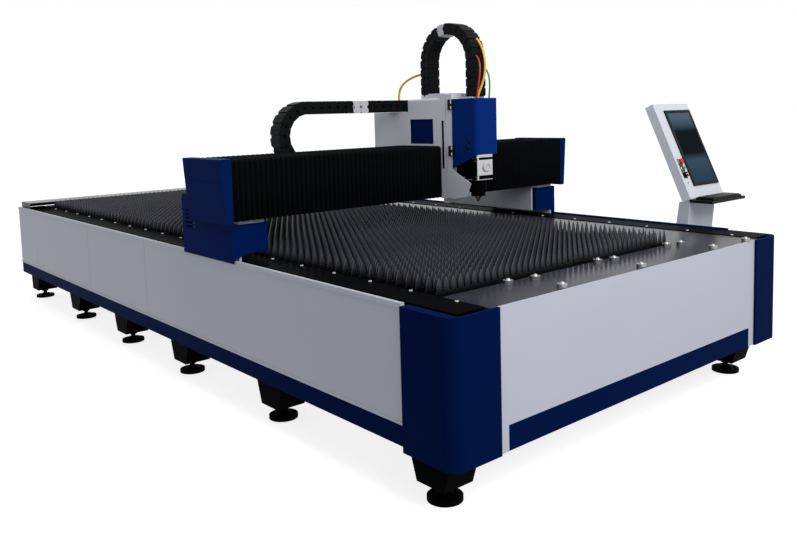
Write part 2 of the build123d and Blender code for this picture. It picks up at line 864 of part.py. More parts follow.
rear_plate_z = deck_top + rear_plate_rise
with BuildPart() as rear_end_plate:
    rear_plate_x = (-frame_half_length, -frame_half_length + rear_plate_length)
    rear_plate_y = (-rear_plate_half_width, rear_plate_half_width)
    block(rear_plate_x, rear_plate_y, (rear_plate_z, rear_plate_z + deck_plate_thick))
    skirt_z = (deck_top + rail_cover_thick + rear_skirt_gap, rear_plate_z)
    block((rear_plate_x[0], rear_plate_x[0] + rear_skirt_thick), rear_plate_y, skirt_z)
    for side in (near, far):
        skirt_y = span_on(side, rear_plate_half_width - rear_skirt_thick, rear_plate_half_width)
        block(rear_plate_x, skirt_y, skirt_z)
    post_pitch = 2 * deck_half_width / rear_post_count
    for index in range(rear_post_count):
        post_y = -deck_half_width + (index + 0.5) * post_pitch
        rod(sum(rear_plate_x) / 2, post_y, (deck_under, rear_plate_z), rear_post_diameter)
finish(rear_end_plate, "rear_end_plate")

with BuildPart() as ball_transfer_units:
    for share_x, share_y in ball_place_shares:
        ball_x = deck_x[0] + share_x * (deck_x[1] - deck_x[0])
        ball_y = share_y * deck_half_width
        cup_top = deck_top + ball_cup_height
        rod(ball_x, ball_y, (deck_top, cup_top), ball_cup_diameter)
        with Locations((ball_x, ball_y, cup_top + ball_diameter * (ball_proud_share - 0.5))):
            Sphere(ball_diameter / 2)
finish(ball_transfer_units, "ball_transfer_units")

# Serrated slats, in sections along the bed
slat_points = [(slat_near_y, slat_bottom), (slat_near_y, slat_valley)]
for index in range(slat_tooth_count):
    middle = slat_near_y + (index + 0.5) * slat_tooth_pitch
    slat_points.append((middle - slat_tooth_base / 2, slat_valley))
    slat_points.append((middle, slat_tip))
    slat_points.append((middle + slat_tooth_base / 2, slat_valley))
slat_points += [(slat_far_y, slat_valley), (slat_far_y, slat_bottom)]
with BuildPart() as slat:
    prism(end_plane(-slat_thick / 2), slat_points, slat_thick)
slat_places = [slat_first_x - index * slat_pitch for index in range(slat_count)]
group_size = math.ceil(slat_count / slat_groups)
for group in range(slat_groups):
    with BuildPart() as slat_section:
        with Locations(*((x, 0, 0) for x in slat_places[group * group_size:(group + 1) * group_size])):
            add(slat.part)
    finish(slat_section, f"slats_{group + 1}")

# Notched holders that the slats stand in
notch_half = slat_thick / 2 + holder_slot_clearance
holder_points = [(pit_half_length, holder_bottom), (pit_half_length, holder_top)]
for x in slat_places:
    holder_points.append((x + notch_half, holder_top))
    holder_points.append((x + notch_half, slat_bottom))
    holder_points.append((x - notch_half, slat_bottom))
    holder_points.append((x - notch_half, holder_top))
holder_points += [(-pit_half_length, holder_top), (-pit_half_length, holder_bottom)]
with BuildPart() as slat_holders:
    prism(side_plane(-wall_inner_y + holder_thick), holder_points, holder_thick)
    prism(side_plane(inner_wall_y), holder_points, holder_thick)
finish(slat_holders, "slat_holders")

# Scrap tray on the cross tubes
with BuildPart() as scrap_tray:
    tray_x = (-pit_half_length + tray_gap, pit_half_length - tray_gap)
    tray_y = (-wall_inner_y + tray_gap, inner_wall_y - tray_gap)
    tray_bottom = tube_bottom + cross_tube_height
    tray_top = tray_bottom + tray_height
    block(tray_x, tray_y, (tray_bottom, tray_top))
    block(
        (tray_x[0] + tray_wall, tray_x[1] - tray_wall),
        (tray_y[0] + tray_wall, tray_y[1] - tray_wall),
        (tray_bottom + tray_wall, tray_top + cut_overrun),
        Mode.SUBTRACT,
    )
finish(scrap_tray, "scrap_tray")

# Rails and racks along the bed
drive_x = (-frame_half_length + rack_end_gap, tube_front_x - rack_end_gap)
rack_rear_x = leg_centre_x - gantry_travel_rear - rack_end_gap
rack_front_x = leg_centre_x + gantry_travel_front + rack_end_gap
with BuildPart() as bed_rails:
    for side in (near, far):
        rail_y = span_on(side, bed_rail_y - rail_width / 2, bed_rail_y + rail_width / 2)
        block(drive_x, rail_y, (tube_top, tube_top + rail_height))
        outline = rack_points(rack_rear_x, rack_front_x, leg_centre_x, rack_back)
        pitch_line_y = pinion_y + gear_radius
        points = [(x, side * (pitch_line_y - offset)) for x, offset in outline]
        prism(Plane.XY.offset(tube_top), points, rack_height)
finish(bed_rails, "bed_rails")

# Gantry legs: bearing blocks, foot plate and motor in the channel, plate through the slot,
# box and shelf under the beam; and the drive pinions
shelf_bottom_z = beam_bottom - leg_shelf_thick
for side, name in ((near, "near"), (far, "far")):
    with BuildPart() as leg:
        leg_x = (leg_rear_x, leg_front_x)
        foot_y_span = span_on(side, tube_inner_y + 2 * body_clearance, leg_outer_y)
        block(leg_x, foot_y_span, (foot_plate_bottom, foot_plate_top))
        rod(leg_centre_x, side * pinion_y, (foot_plate_bottom - cut_overrun, foot_plate_top + cut_overrun),
            pinion_shaft_diameter + 2 * body_clearance, Mode.SUBTRACT)
        slot_y = span_on(side, leg_outer_y - leg_plate_thick, leg_outer_y)
        block(leg_x, slot_y, (foot_plate_top, shelf_bottom_z))
        box_inner_y = leg_outer_y - leg_box_width
        for rib_x in ((leg_rear_x, leg_rear_x + leg_plate_thick), (leg_front_x - leg_plate_thick, leg_front_x)):
            block(rib_x, span_on(side, box_inner_y, leg_outer_y), (leg_box_bottom, shelf_bottom_z))
        inner_y = span_on(side, box_inner_y, box_inner_y + leg_plate_thick)
        block(leg_x, inner_y, (leg_box_bottom, shelf_bottom_z))
        shelf_x = (shelf_rear_x, leg_front_x)
        shelf_inner_y = box_inner_y
        if side == far:
            shelf_inner_y = cover_inner_y - far_plate_gap - leg_plate_thick
            brace_y = (shelf_inner_y, shelf_inner_y + leg_plate_thick)
            block((far_plate_rear_x, leg_front_x), brace_y, (leg_box_bottom, beam_bottom))
        block(shelf_x, span_on(side, shelf_inner_y, leg_outer_y), (shelf_bottom_z, beam_bottom))
        motor(leg_centre_x, side * pinion_y, foot_plate_top)
        for offset in (-block_spacing / 2, block_spacing / 2):
            block_x = (leg_centre_x + offset - block_length / 2, leg_centre_x + offset + block_length / 2)
            block_y = span_on(side, bed_rail_y - block_width / 2, bed_rail_y + block_width / 2)
            block(block_x, block_y, (tube_top + block_lift, foot_plate_bottom))
            groove_half = rail_width / 2 + slide_clearance
            groove_x = (block_x[0] - cut_overrun, block_x[1] + cut_overrun)
            groove_y = span_on(side, bed_rail_y - groove_half, bed_rail_y + groove_half)
            block(groove_x, groove_y, (tube_top, tube_top + rail_height + slide_clearance), Mode.SUBTRACT)
    finish(leg, f"{name}_leg")
    with BuildPart() as drive_pinion:
        tooth_direction = side * math.pi / 2
        pinion(leg_centre_x, side * pinion_y, tube_top + gear_floor_gap, gear_width,
               foot_plate_top + pinion_shaft_entry, tooth_direction)
    finish(drive_pinion, f"{name}_pinion")

# Leg covers: low body, raised rear part with louvres, open below
cover_low_z = cover_bottom - cut_overrun
lift_outer_y = cover_outer_y - cover_wall
with BuildPart() as leg_covers:
    with BuildSketch(side_plane(-cover_inner_y)):
        with BuildLine():
            Polyline(
                (cover_rear_x, cover_bottom),
                (cover_front_x, cover_bottom),
                (cover_front_x, cover_top),
                (cover_step_x, cover_top),
                (cover_step_x, cover_step_top),
                (cover_rear_x, cover_step_top),
                close=True,
            )
        profile = make_face()
        fillet(profile.vertices().group_by(Axis.Y)[-1], cover_corner_radius)
    extrude(amount=cover_width)
    inside_y = span_on(near, cover_inner_y + cover_wall, lift_outer_y)
    rear_inside = (cover_rear_x + cover_wall, cover_step_x - cover_wall)
    front_inside = (rear_inside[1], cover_front_x - cover_wall)
    block(rear_inside, inside_y, (cover_low_z, cover_step_top - cover_corner_radius), Mode.SUBTRACT)
    crown_x = (rear_inside[0] + cover_corner_radius, rear_inside[1] - cover_corner_radius)
    block(crown_x, inside_y, (cover_low_z, cover_step_top - cover_wall), Mode.SUBTRACT)
    block(front_inside, inside_y, (cover_low_z, shelf_bottom_z + body_clearance), Mode.SUBTRACT)
    lift_points = [
        (-lift_outer_y, cover_low_z),
        (-lift_outer_y, cover_front_lift),
        (-lift_outer_y + cover_slope_width, cover_inner_bottom),
        (-cover_inner_y + cut_overrun, cover_inner_bottom),
        (-cover_inner_y + cut_overrun, cover_low_z),
    ]
    cut_length = cover_front_x - cover_rear_x + 2 * cut_overrun
    prism(end_plane(cover_rear_x - cut_overrun), lift_points, cut_length, Mode.SUBTRACT)
    louvre_middle = (cover_rear_x + cover_step_x) / 2
    louvre_x = (louvre_middle - louvre_length / 2, louvre_middle + louvre_length / 2)
    louvre_y = span_on(near, cover_outer_y - 2 * cover_wall, cover_outer_y + cut_overrun)
    for index in range(louvre_count):
        louvre_z = louvre_first_z + index * louvre_pitch
        block(louvre_x, louvre_y, (louvre_z, louvre_z + louvre_height), Mode.SUBTRACT)
    mirror(about=Plane.XZ)
finish(leg_covers, "leg_covers")

# Beam with its end flanges, cross rails, cross rack and the chain tray on its rear side
tray_top_z = cross_chain_centre_z - cross_chain_radius - cross_chain_thick / 2
with BuildPart() as gantry_beam:
    beam_y = (-beam_half_length, beam_half_length)
    block((beam_rear_x, beam_front_x), beam_y, (beam_bottom, beam_top))
    block(
        (beam_rear_x + beam_wall, beam_front_x - beam_wall),
        (-beam_half_length - cut_overrun, beam_half_length + cut_overrun),
        (beam_bottom + beam_wall, beam_top - beam_wall),
        Mode.SUBTRACT,
    )
    flange_x = (beam_rear_x + beam_flange_inset, beam_front_x - beam_flange_inset)
    flange_z = (beam_bottom + beam_flange_inset, beam_top - beam_flange_inset)
    for side in (near, far):
        end_y = span_on(side, beam_half_length - beam_flange_thick, beam_half_length)
        block((beam_rear_x, beam_front_x), end_y, (beam_bottom, beam_top))
        block(flange_x, span_on(side, beam_half_length, cap_inner_y), flange_z)
    tray_rear_x = cross_chain_front_x - cross_chain_width
    tray_y = (cross_tray_near_y, cross_tray_far_y)
    block((tray_rear_x, beam_rear_x), tray_y, (tray_top_z - cross_tray_thick, tray_top_z))
    rail_half = cross_rail_width / 2
    rail_y = (-beam_half_length + cross_rack_end_gap, beam_half_length - cross_rack_end_gap)
    block((top_rail_x - rail_half, top_rail_x + rail_half), rail_y, (beam_top, beam_top + cross_rail_height))
    front_rail_x = (beam_front_x, beam_front_x + cross_rail_height)
    block(front_rail_x, rail_y, (front_rail_z - rail_half, front_rail_z + rail_half))
    outline = rack_points(*rail_y, carriage_centre_y, cross_rack_back)
    points = [(cross_rack_pitch_x + offset, y) for y, offset in outline]
    prism(Plane.XY.offset(beam_top), points, cross_rack_height)
finish(gantry_beam, "gantry_beam")

# End caps with a leaning outer side and a seam
cap_lean = (cap_outer_top_y - cap_outer_bottom_y) / (cap_top - cap_bottom)
with BuildPart() as end_caps:
    outline = [
        (-cap_inner_y, cap_bottom),
        (-cap_outer_bottom_y, cap_bottom),
        (-cap_outer_top_y, cap_top),
        (-cap_inner_y, cap_top),
    ]
    prism(end_plane(cap_rear_x), outline, cap_front_x - cap_rear_x)
    fillet(end_caps.edges().group_by(Axis.Y)[0], cap_edge_radius)
    inside_bottom = cap_bottom - cut_overrun
    inside_top = cap_top - 3 * cap_wall
    inside = [
        (-cap_inner_y - cap_wall, inside_bottom),
        (-cap_outer_bottom_y + cap_wall + cut_overrun * cap_lean, inside_bottom),
        (-cap_outer_bottom_y + cap_wall - (inside_top - cap_bottom) * cap_lean, inside_top),
        (-cap_inner_y - cap_wall, inside_top),
    ]
    inside_length = cap_front_x - cap_rear_x - 2 * cap_wall
    prism(end_plane(cap_rear_x + cap_wall), inside, inside_length, Mode.SUBTRACT)
    seam_z = (cap_seam_z - cap_seam / 2, cap_seam_z + cap_seam / 2)
    seam_outer_y = cap_outer_bottom_y + (cap_seam_z - cap_bottom) * cap_lean
    seam_y = span_on(near, seam_outer_y - cap_wall / 2, cap_outer_top_y + cut_overrun)
    block((cap_rear_x - cut_overrun, cap_front_x + cut_overrun), seam_y, seam_z, Mode.SUBTRACT)
    mirror(about=Plane.XZ)
finish(end_caps, "end_caps")

# Bellows over the beam, folded round its front and top
bellows_spans = (
    ("near", -cap_inner_y, carriage_near_y - bellows_carriage_gap),
    ("far", carriage_far_y + bellows_carriage_gap, cap_inner_y),
)
for name, start_y, end_y in bellows_spans:
    pleat_count = round((end_y - start_y) / bellows_pleat_pitch)
    with BuildPart() as bellows:
        for index in range(2 * pleat_count + 1):
            section_y = start_y + (end_y - start_y) * index / (2 * pleat_count)
            depth = bellows_pleat_depth * (index % 2)
            outer_x = bellows_front_x - depth
            outer_z = bellows_top - depth
            with BuildSketch(side_plane(section_y)):
                with BuildLine():
                    Polyline(
                        (outer_x, bellows_bottom),
                        (outer_x, outer_z),
                        (bellows_rear_x, outer_z),
                        (bellows_rear_x, outer_z - bellows_wall),
                        (outer_x - bellows_wall, outer_z - bellows_wall),
                        (outer_x - bellows_wall, bellows_bottom),
                        close=True,
                    )
                make_face()
        loft(ruled=True)
    finish(bellows, f"{name}_bellows")

# Carriage plate: plate over the beam, front plate and bearing blocks on both cross rails
with BuildPart() as carriage_plate:
    carriage_y = (carriage_near_y, carriage_far_y)
    plate_x = (housing_rear_x, column_rear_x)
    block(plate_x, carriage_y, (carriage_plate_bottom, carriage_plate_top))
    block((carriage_front_x, column_rear_x), carriage_y, (carriage_front_bottom, carriage_plate_bottom))
    block_half = cross_block_width / 2
    groove_half = cross_rail_width / 2 + slide_clearance
    groove_reach = cross_rail_height + slide_clearance
    for offset in (-cross_block_spacing / 2, cross_block_spacing / 2):
        middle = carriage_centre_y + offset
        block_y = (middle - cross_block_length / 2, middle + cross_block_length / 2)
        top_block_x = (top_rail_x - block_half, top_rail_x + block_half)
        block(top_block_x, block_y, (beam_top + cross_block_lift, carriage_plate_bottom))
        front_block_z = (front_rail_z - block_half, front_rail_z + block_half)
        block((beam_front_x + cross_block_lift, carriage_front_x), block_y, front_block_z)
    groove_y = (carriage_near_y - cut_overrun, carriage_far_y + cut_overrun)
    top_groove_x = (top_rail_x - groove_half, top_rail_x + groove_half)
    block(top_groove_x, groove_y, (beam_top, beam_top + groove_reach), Mode.SUBTRACT)
    front_groove_z = (front_rail_z - groove_half, front_rail_z + groove_half)
    block((beam_front_x, beam_front_x + groove_reach), groove_y, front_groove_z, Mode.SUBTRACT)
    shaft_hole_z = (carriage_plate_bottom - cut_overrun, carriage_plate_top + cut_overrun)
    shaft_hole = pinion_shaft_diameter + 2 * body_clearance
    rod(cross_pinion_x, carriage_centre_y, shaft_hole_z, shaft_hole, Mode.SUBTRACT)
finish(carriage_plate, "carriage_plate")

# Cross drive motor and pinion
with BuildPart() as cross_motor:
    motor(cross_pinion_x, carriage_centre_y, carriage_plate_top)
finish(cross_motor, "cross_motor")

with BuildPart() as cross_pinion:
    pinion(cross_pinion_x, carriage_centre_y, beam_top + gear_floor_gap, cross_gear_width,
           carriage_plate_top + pinion_shaft_entry, math.pi)
finish(cross_pinion, "cross_pinion")

# Upper housing with its window, plinth and the seat of the arch chain
arch_left_span = (arch_left_x - arch_thick / 2, arch_left_x + arch_thick / 2)
arch_y = (arch_near_y, arch_near_y + arch_width)
window_x = (housing_rear_x + window_rear_gap, column_rear_x - window_front_gap)
window_z = (carriage_plate_top + window_bottom_gap, housing_top - window_top_gap)
with BuildPart() as upper_housing:
    block((housing_rear_x, column_rear_x), carriage_y, (carriage_plate_top, housing_top))
    fillet(upper_housing.faces().sort_by(Axis.Z)[-1].edges(), housing_edge_radius)
    block(
        (housing_rear_x + housing_wall, column_rear_x - housing_wall),
        (carriage_near_y + housing_wall, carriage_far_y - housing_wall),
        (carriage_plate_top - cut_overrun, housing_top - housing_edge_radius),
        Mode.SUBTRACT,
    )
    window_y = (carriage_near_y - cut_overrun, carriage_near_y + housing_wall + cut_overrun)
    block(window_x, window_y, window_z, Mode.SUBTRACT)
    plinth_x = (column_rear_x - housing_edge_radius - plinth_length, column_rear_x - housing_edge_radius)
    plinth_y = (carriage_near_y + housing_edge_radius, carriage_far_y - housing_edge_radius)
    block(plinth_x, plinth_y, (housing_top, housing_top + plinth_height))
    block(arch_left_span, arch_y, (housing_top, housing_top + arch_seat_height))
finish(upper_housing, "upper_housing")

with BuildPart() as window_panel:
    panel_y = (carriage_near_y + housing_wall, carriage_near_y + housing_wall + window_panel_thick)
    lap_x = (window_x[0] - window_panel_lap, window_x[1] + window_panel_lap)
    lap_z = (window_z[0] - window_panel_lap, window_z[1] + window_panel_lap)
    block(lap_x, panel_y, lap_z)
finish(window_panel, "window_panel")

with BuildPart() as rear_housing:
    block((rear_housing_x, housing_rear_x), carriage_y, (rear_housing_bottom, rear_housing_top))
    upright_edges = rear_housing.edges().filter_by(Axis.Z).group_by(Axis.X)[0]
    fillet(upright_edges, housing_edge_radius)
    block(
        (rear_housing_x + housing_wall, housing_rear_x + cut_overrun),
        (carriage_near_y + housing_edge_radius, carriage_far_y - housing_edge_radius),
        (rear_housing_bottom + housing_wall, rear_housing_top - housing_wall),
        Mode.SUBTRACT,
    )
finish(rear_housing, "rear_housing")

# Column: back, side walls, cap, foot, lift rails and lift motor
column_y = (carriage_near_y, column_far_y)
lift_rail_places = (carriage_near_y + lift_rail_inset, column_far_y - lift_rail_inset)
screw_bore = lift_screw_diameter + 2 * running_clearance
motor_top = lift_motor_bottom + lift_motor_height
with BuildPart() as column:
    block((column_rear_x, column_front_x), column_y, (column_bottom, column_top))
    block(
        (column_inside_x, column_front_x + cut_overrun),
        (carriage_near_y + column_wall, column_far_y - column_wall),
        (column_bottom - cut_overrun, column_top - column_cap_thick),
        Mode.SUBTRACT,
    )
    slot_x = (column_front_x - column_slot_setback - column_slot_width, column_front_x - column_slot_setback)
    slot_y = (carriage_near_y - cut_overrun, carriage_near_y + column_wall + cut_overrun)
    block(slot_x, slot_y, (column_slot_bottom, column_slot_top), Mode.SUBTRACT)
    foot_y_span = (carriage_near_y + column_foot_inset, column_far_y - column_foot_inset)
    block((column_inside_x - column_wall, column_front_x), foot_y_span,
          (column_bottom - column_foot_height, column_bottom))
    for rail_y in lift_rail_places:
        rail_span = (rail_y - lift_rail_width / 2, rail_y + lift_rail_width / 2)
        block((column_inside_x, column_inside_x + lift_rail_height), rail_span, (lift_rail_bottom, lift_rail_top))
    motor_x = (column_inside_x, column_front_x - lift_motor_gap)
    motor_y = (lift_axis_y - lift_motor_width / 2, lift_axis_y + lift_motor_width / 2)
    block(motor_x, motor_y, (lift_motor_bottom, motor_top))
    bore_z = (lift_motor_bottom - cut_overrun, lift_motor_bottom + pinion_shaft_entry + slide_clearance)
    rod(lift_axis_x, lift_axis_y, bore_z, screw_bore, Mode.SUBTRACT)
finish(column, "column")

with BuildPart() as lift_screw:
    rod(lift_axis_x, lift_axis_y, (lift_screw_bottom, lift_motor_bottom + pinion_shaft_entry), lift_screw_diameter)
finish(lift_screw, "lift_screw")

# Head slide: front plate, side walls, lift blocks, nut, guard, chain arm and hinge leaves
slide_y = (carriage_near_y, column_far_y)
hinge_thirds = hinge_height / 3


def knuckle(z_span, mode=Mode.ADD):
    """Add or cut a hinge knuckle between two heights in the part that is being built."""
    rod(hinge_axis_x, hinge_axis_y, z_span, 2 * hinge_knuckle_radius, mode)


with BuildPart() as head_slide:
    block((slide_rear_x, slide_front_x), slide_y, (slide_bottom, slide_top))
    block(
        (slide_rear_x - cut_overrun, slide_plate_x),
        (carriage_near_y + slide_wall, column_far_y - slide_wall),
        (slide_bottom - cut_overrun, slide_top + cut_overrun),
        Mode.SUBTRACT,
    )
    block_x = (column_inside_x + lift_block_lift, slide_plate_x)
    for rail_y in lift_rail_places:
        block_y = (rail_y - lift_block_width / 2, rail_y + lift_block_width / 2)
        groove_half = lift_rail_width / 2 + slide_clearance
        groove_y = (rail_y - groove_half, rail_y + groove_half)
        groove_x = (column_inside_x, column_inside_x + lift_rail_height + slide_clearance)
        for index in range(2):
            block_bottom = lift_block_first_z + index * lift_block_spacing
            block_z = (block_bottom, block_bottom + lift_block_length)
            block(block_x, block_y, block_z)
            groove_z = (block_z[0] - cut_overrun, block_z[1] + cut_overrun)
            block(groove_x, groove_y, groove_z, Mode.SUBTRACT)
    nut_y = (lift_axis_y - lift_nut_width / 2, lift_axis_y + lift_nut_width / 2)
    block(block_x, nut_y, (lift_nut_z, lift_nut_z + lift_nut_length))
    nut_bore_z = (lift_nut_z - cut_overrun, lift_nut_z + lift_nut_length + cut_overrun)
    rod(lift_axis_x, lift_axis_y, nut_bore_z, screw_bore, Mode.SUBTRACT)
    guard_points = [
        (slide_front_x + share_x * guard_reach, guard_bottom + share_z * (guard_top - guard_bottom))
        for share_x, share_z in guard_point_shares
    ]
    prism(side_plane(carriage_near_y + guard_thick), guard_points, guard_thick)
    arm_top = arch_end_z
    block((slide_front_x, slide_front_x + arch_arm_reach), arch_y, (arm_top - arch_arm_thick, arm_top))
    for hinge_bottom in hinge_bottoms:
        hinge_z = (hinge_bottom, hinge_bottom + hinge_height)
        leaf_y = (carriage_near_y - hinge_leaf_thick, carriage_near_y)
        leaf_x = (slide_front_x - hinge_leaf_length, hinge_axis_x)
        block(leaf_x, leaf_y, hinge_z)
        door_zone_z = (hinge_bottom + hinge_thirds, hinge_bottom + 2 * hinge_thirds)
        door_zone_x = (hinge_axis_x - hinge_knuckle_radius - hinge_leaf_gap, leaf_x[1] + cut_overrun)
        door_zone_y = (leaf_y[0] - cut_overrun, leaf_y[1])
        block(door_zone_x, door_zone_y, door_zone_z, Mode.SUBTRACT)
        knuckle((hinge_z[0], door_zone_z[0]))
        knuckle((door_zone_z[1], hinge_z[1]))
        rod(hinge_axis_x, hinge_axis_y, hinge_z, 2 * hinge_pin_radius)
finish(head_slide, "head_slide")

# Hinged head cover: bent sheet with a slanted lower edge, slots and its hinge leaves
with BuildPart() as head_door:
    door_bottom = min(door_rear_bottom, door_front_bottom)
    half_wall = door_wall / 2
    with BuildSketch(Plane.XY.offset(door_bottom)):
        with BuildLine():
            FilletPolyline(
                (door_rear_x, door_near_y + half_wall),
                (door_front_x - half_wall, door_near_y + half_wall),
                (door_front_x - half_wall, door_far_y - half_wall),
                (door_front_x - door_return, door_far_y - half_wall),
                radius=[door_edge_radius, door_return_radius],
            )
        trace(line_width=door_wall)
    extrude(amount=door_top - door_bottom)
    wedge = [
        (door_rear_x - cut_overrun, door_bottom - cut_overrun),
        (door_front_x + cut_overrun, door_bottom - cut_overrun),
        (door_front_x + cut_overrun, door_front_bottom),
        (door_front_x, door_front_bottom),
        (door_rear_x, door_rear_bottom),
    ]
    wedge_plane = side_plane(door_far_y + cut_overrun)
    prism(wedge_plane, wedge, door_far_y - door_near_y + 2 * cut_overrun, Mode.SUBTRACT)
    with BuildSketch(side_plane(door_near_y + door_wall + cut_overrun)) as slots:
        for index in range(door_slot_count):
            with Locations((door_slot_x, door_slot_first_z + index * door_slot_pitch)):
                SlotOverall(door_slot_length, door_slot_width, rotation=door_slot_tilt)
    extrude(slots.sketch, amount=door_wall + 2 * cut_overrun, mode=Mode.SUBTRACT)
    for hinge_bottom in hinge_bottoms:
        hinge_z = (hinge_bottom, hinge_bottom + hinge_height)
        leaf_y = (door_near_y - hinge_leaf_thick, door_near_y)
        clear_x = hinge_axis_x + hinge_knuckle_radius + hinge_leaf_gap
        block((clear_x, clear_x + hinge_leaf_length), leaf_y, hinge_z)
        door_zone_z = (
            hinge_bottom + hinge_thirds + hinge_knuckle_gap,
            hinge_bottom + 2 * hinge_thirds - hinge_knuckle_gap,
        )
        block((hinge_axis_x, clear_x), leaf_y, door_zone_z)
        knuckle(door_zone_z)
        pin_bore = 2 * (hinge_pin_radius + running_clearance)
        rod(hinge_axis_x, hinge_axis_y, hinge_z, pin_bore, Mode.SUBTRACT)
finish(head_door, "head_door")

with BuildPart() as head_side_plate:
    plate_y = (column_far_y - slide_wall - side_plate_thick, column_far_y - slide_wall)
    block((slide_front_x, side_plate_front_x), plate_y, (side_plate_bottom, side_plate_top))
finish(head_side_plate, "head_side_plate")

# Cutting head: bracket, body with collimator, lower body and nozzle
with BuildPart() as head_bracket:
    bracket_y = (head_axis_y - head_bracket_width / 2, head_axis_y + head_bracket_width / 2)
    block((slide_front_x, head_rear_x), bracket_y, (head_bracket_bottom, head_bracket_top))
finish(head_bracket, "head_bracket")

with BuildPart() as cutting_head:
    block((head_rear_x, head_front_x), (head_near_y, head_far_y), (head_bottom, head_top))
    fillet(cutting_head.edges().filter_by(Axis.Z), head_edge_radius)
    groove_z = (head_groove_z, head_groove_z + head_groove_height)
    groove_y = (head_near_y - cut_overrun, head_near_y + head_groove_depth)
    block((head_rear_x - cut_overrun, head_front_x + cut_overrun), groove_y, groove_z, Mode.SUBTRACT)
    collimator_top = head_top + collimator_height
    rod(head_axis_x, head_axis_y, (head_top, collimator_top), collimator_diameter)
    rod(head_axis_x, head_axis_y, (collimator_top, collimator_top + connector_height), connector_diameter)
finish(cutting_head, "cutting_head")

with BuildPart() as head_lower_body:
    rod(head_axis_x, head_axis_y, (lower_body_bottom, head_bottom), lower_body_diameter)
    rod(head_axis_x, head_axis_y, (collar_bottom, lower_body_bottom), collar_diameter)
finish(head_lower_body, "head_lower_body")

with BuildPart() as nozzle:
    with BuildSketch(Plane(origin=(head_axis_x, head_axis_y, 0), x_dir=(1, 0, 0), z_dir=(0, -1, 0))):
        with BuildLine():
            Polyline(
                (nozzle_bore / 2, collar_bottom),
                (nozzle_top_diameter / 2, collar_bottom),
                (nozzle_shoulder_diameter / 2, nozzle_shoulder_z),
                (nozzle_tip_diameter / 2, nozzle_tip_z),
                (nozzle_bore / 2, nozzle_tip_z),
                close=True,
            )
        make_face()
    revolve(axis=Axis((head_axis_x, head_axis_y, 0), (0, 0, 1)))
finish(nozzle, "nozzle")


# Drag chains: a core band with a box at every link
def chain_place(distance, first_run, radius):
    """Return the two local coordinates and the turn, in radians, at a distance along a chain."""
    bend = math.pi * radius
    if distance < first_run:
        return distance, -radius, 0
    if distance < first_run + bend:
        turn = (distance - first_run) / radius
        return first_run + radius * math.sin(turn), -radius * math.cos(turn), turn
    return first_run - (distance - first_run - bend), radius, math.pi


def drag_chain(plane, first_run, second_run, radius, thick, width, pitch):
    """Add a chain to the part being built; the plane's normal is along the chain's width."""
    core = thick * chain_core_share
    core_width = width * chain_core_share
    with BuildSketch(plane.offset(-core_width / 2)) as band:
        with Locations((first_run, 0)):
            Circle(radius + core / 2)
            Circle(radius - core / 2, mode=Mode.SUBTRACT)
            Rectangle(radius + core, 2 * (radius + core), align=(Align.MAX, Align.CENTER), mode=Mode.SUBTRACT)
        with Locations((first_run, -radius)):
            Rectangle(first_run, core, align=(Align.MAX, Align.CENTER))
        with Locations((first_run, radius)):
            Rectangle(second_run, core, align=(Align.MAX, Align.CENTER))
    extrude(band.sketch, amount=core_width)
    total = first_run + math.pi * radius + second_run
    count = round(total / pitch)
    for index in range(count):
        along, across, turn = chain_place((index + 0.5) * total / count, first_run, radius)
        origin = plane.origin + plane.x_dir * along + plane.y_dir * across
        direction = plane.x_dir * math.cos(turn) + plane.y_dir * math.sin(turn)
        with Locations(Plane(origin, x_dir=direction, z_dir=plane.z_dir)):
            Box(pitch * chain_link_share, thick, width)


with BuildPart() as cross_chain:
    cross_origin = (cross_chain_centre_x, cross_chain_fixed_y, cross_chain_centre_z)
    cross_plane = Plane(cross_origin, x_dir=(0, -1, 0), z_dir=(-1, 0, 0))
    lower_run = cross_chain_fixed_y - cross_chain_loop_y
    upper_run = carriage_near_y + cross_chain_overlap - cross_chain_loop_y
    drag_chain(cross_plane, lower_run, upper_run, cross_chain_radius, cross_chain_thick, cross_chain_width,
               cross_chain_pitch)
finish(cross_chain, "cross_chain")

with BuildPart() as arch_chain:
    arch_radius = (arch_right_x - arch_left_x) / 2
    arch_start_z = housing_top + arch_seat_height + chain_seat_clearance
    arch_origin = ((arch_left_x + arch_right_x) / 2, arch_near_y + arch_width / 2, arch_start_z)
    arch_plane = Plane(arch_origin, x_dir=(0, 0, 1), z_dir=(0, 1, 0))
    drag_chain(arch_plane, arch_centre_z - arch_start_z, arch_centre_z - arch_end_z, arch_radius, arch_thick,
               arch_width, arch_pitch)
finish(arch_chain, "arch_chain")


# Cables and hoses: straight runs joined by arcs as large as the runs allow
def cord(name, route, diameter):
    """Make one cable along its route, print its radii and write it to its own file."""
    corners = [Vector(*point) for point in route]
    radii = []
    for before, corner, after in zip(corners, corners[1:], corners[2:]):
        turn = math.radians((corner - before).get_angle(after - corner))
        shorter = min((corner - before).length, (after - corner).length)
        radii.append(bend_share * shorter / math.tan(turn / 2))
    print(name, "radii", [round(radius, 1) for radius in radii])
    with BuildPart() as tube:
        with BuildLine() as path:
            FilletPolyline(*corners, radius=radii)
        start_plane = Plane(corners[0], z_dir=corners[1] - corners[0])
        with BuildSketch(start_plane):
            Circle(diameter / 2)
        sweep(path=path.line)
    section = math.pi * diameter ** 2 / 4
    length = sum(edge.length for edge in path.edges())
    print(name, "length", round(length, 1), "volume share", round(tube.part.volume / (section * length), 4))
    finish(tube, name)


cord("fibre_cable", fibre_cable_route, fibre_diameter)
cord("fibre_tail", fibre_tail_route, fibre_diameter)
cord("red_hose", red_hose_route, hose_diameter)
cord("green_hose", green_hose_route, hose_diameter)

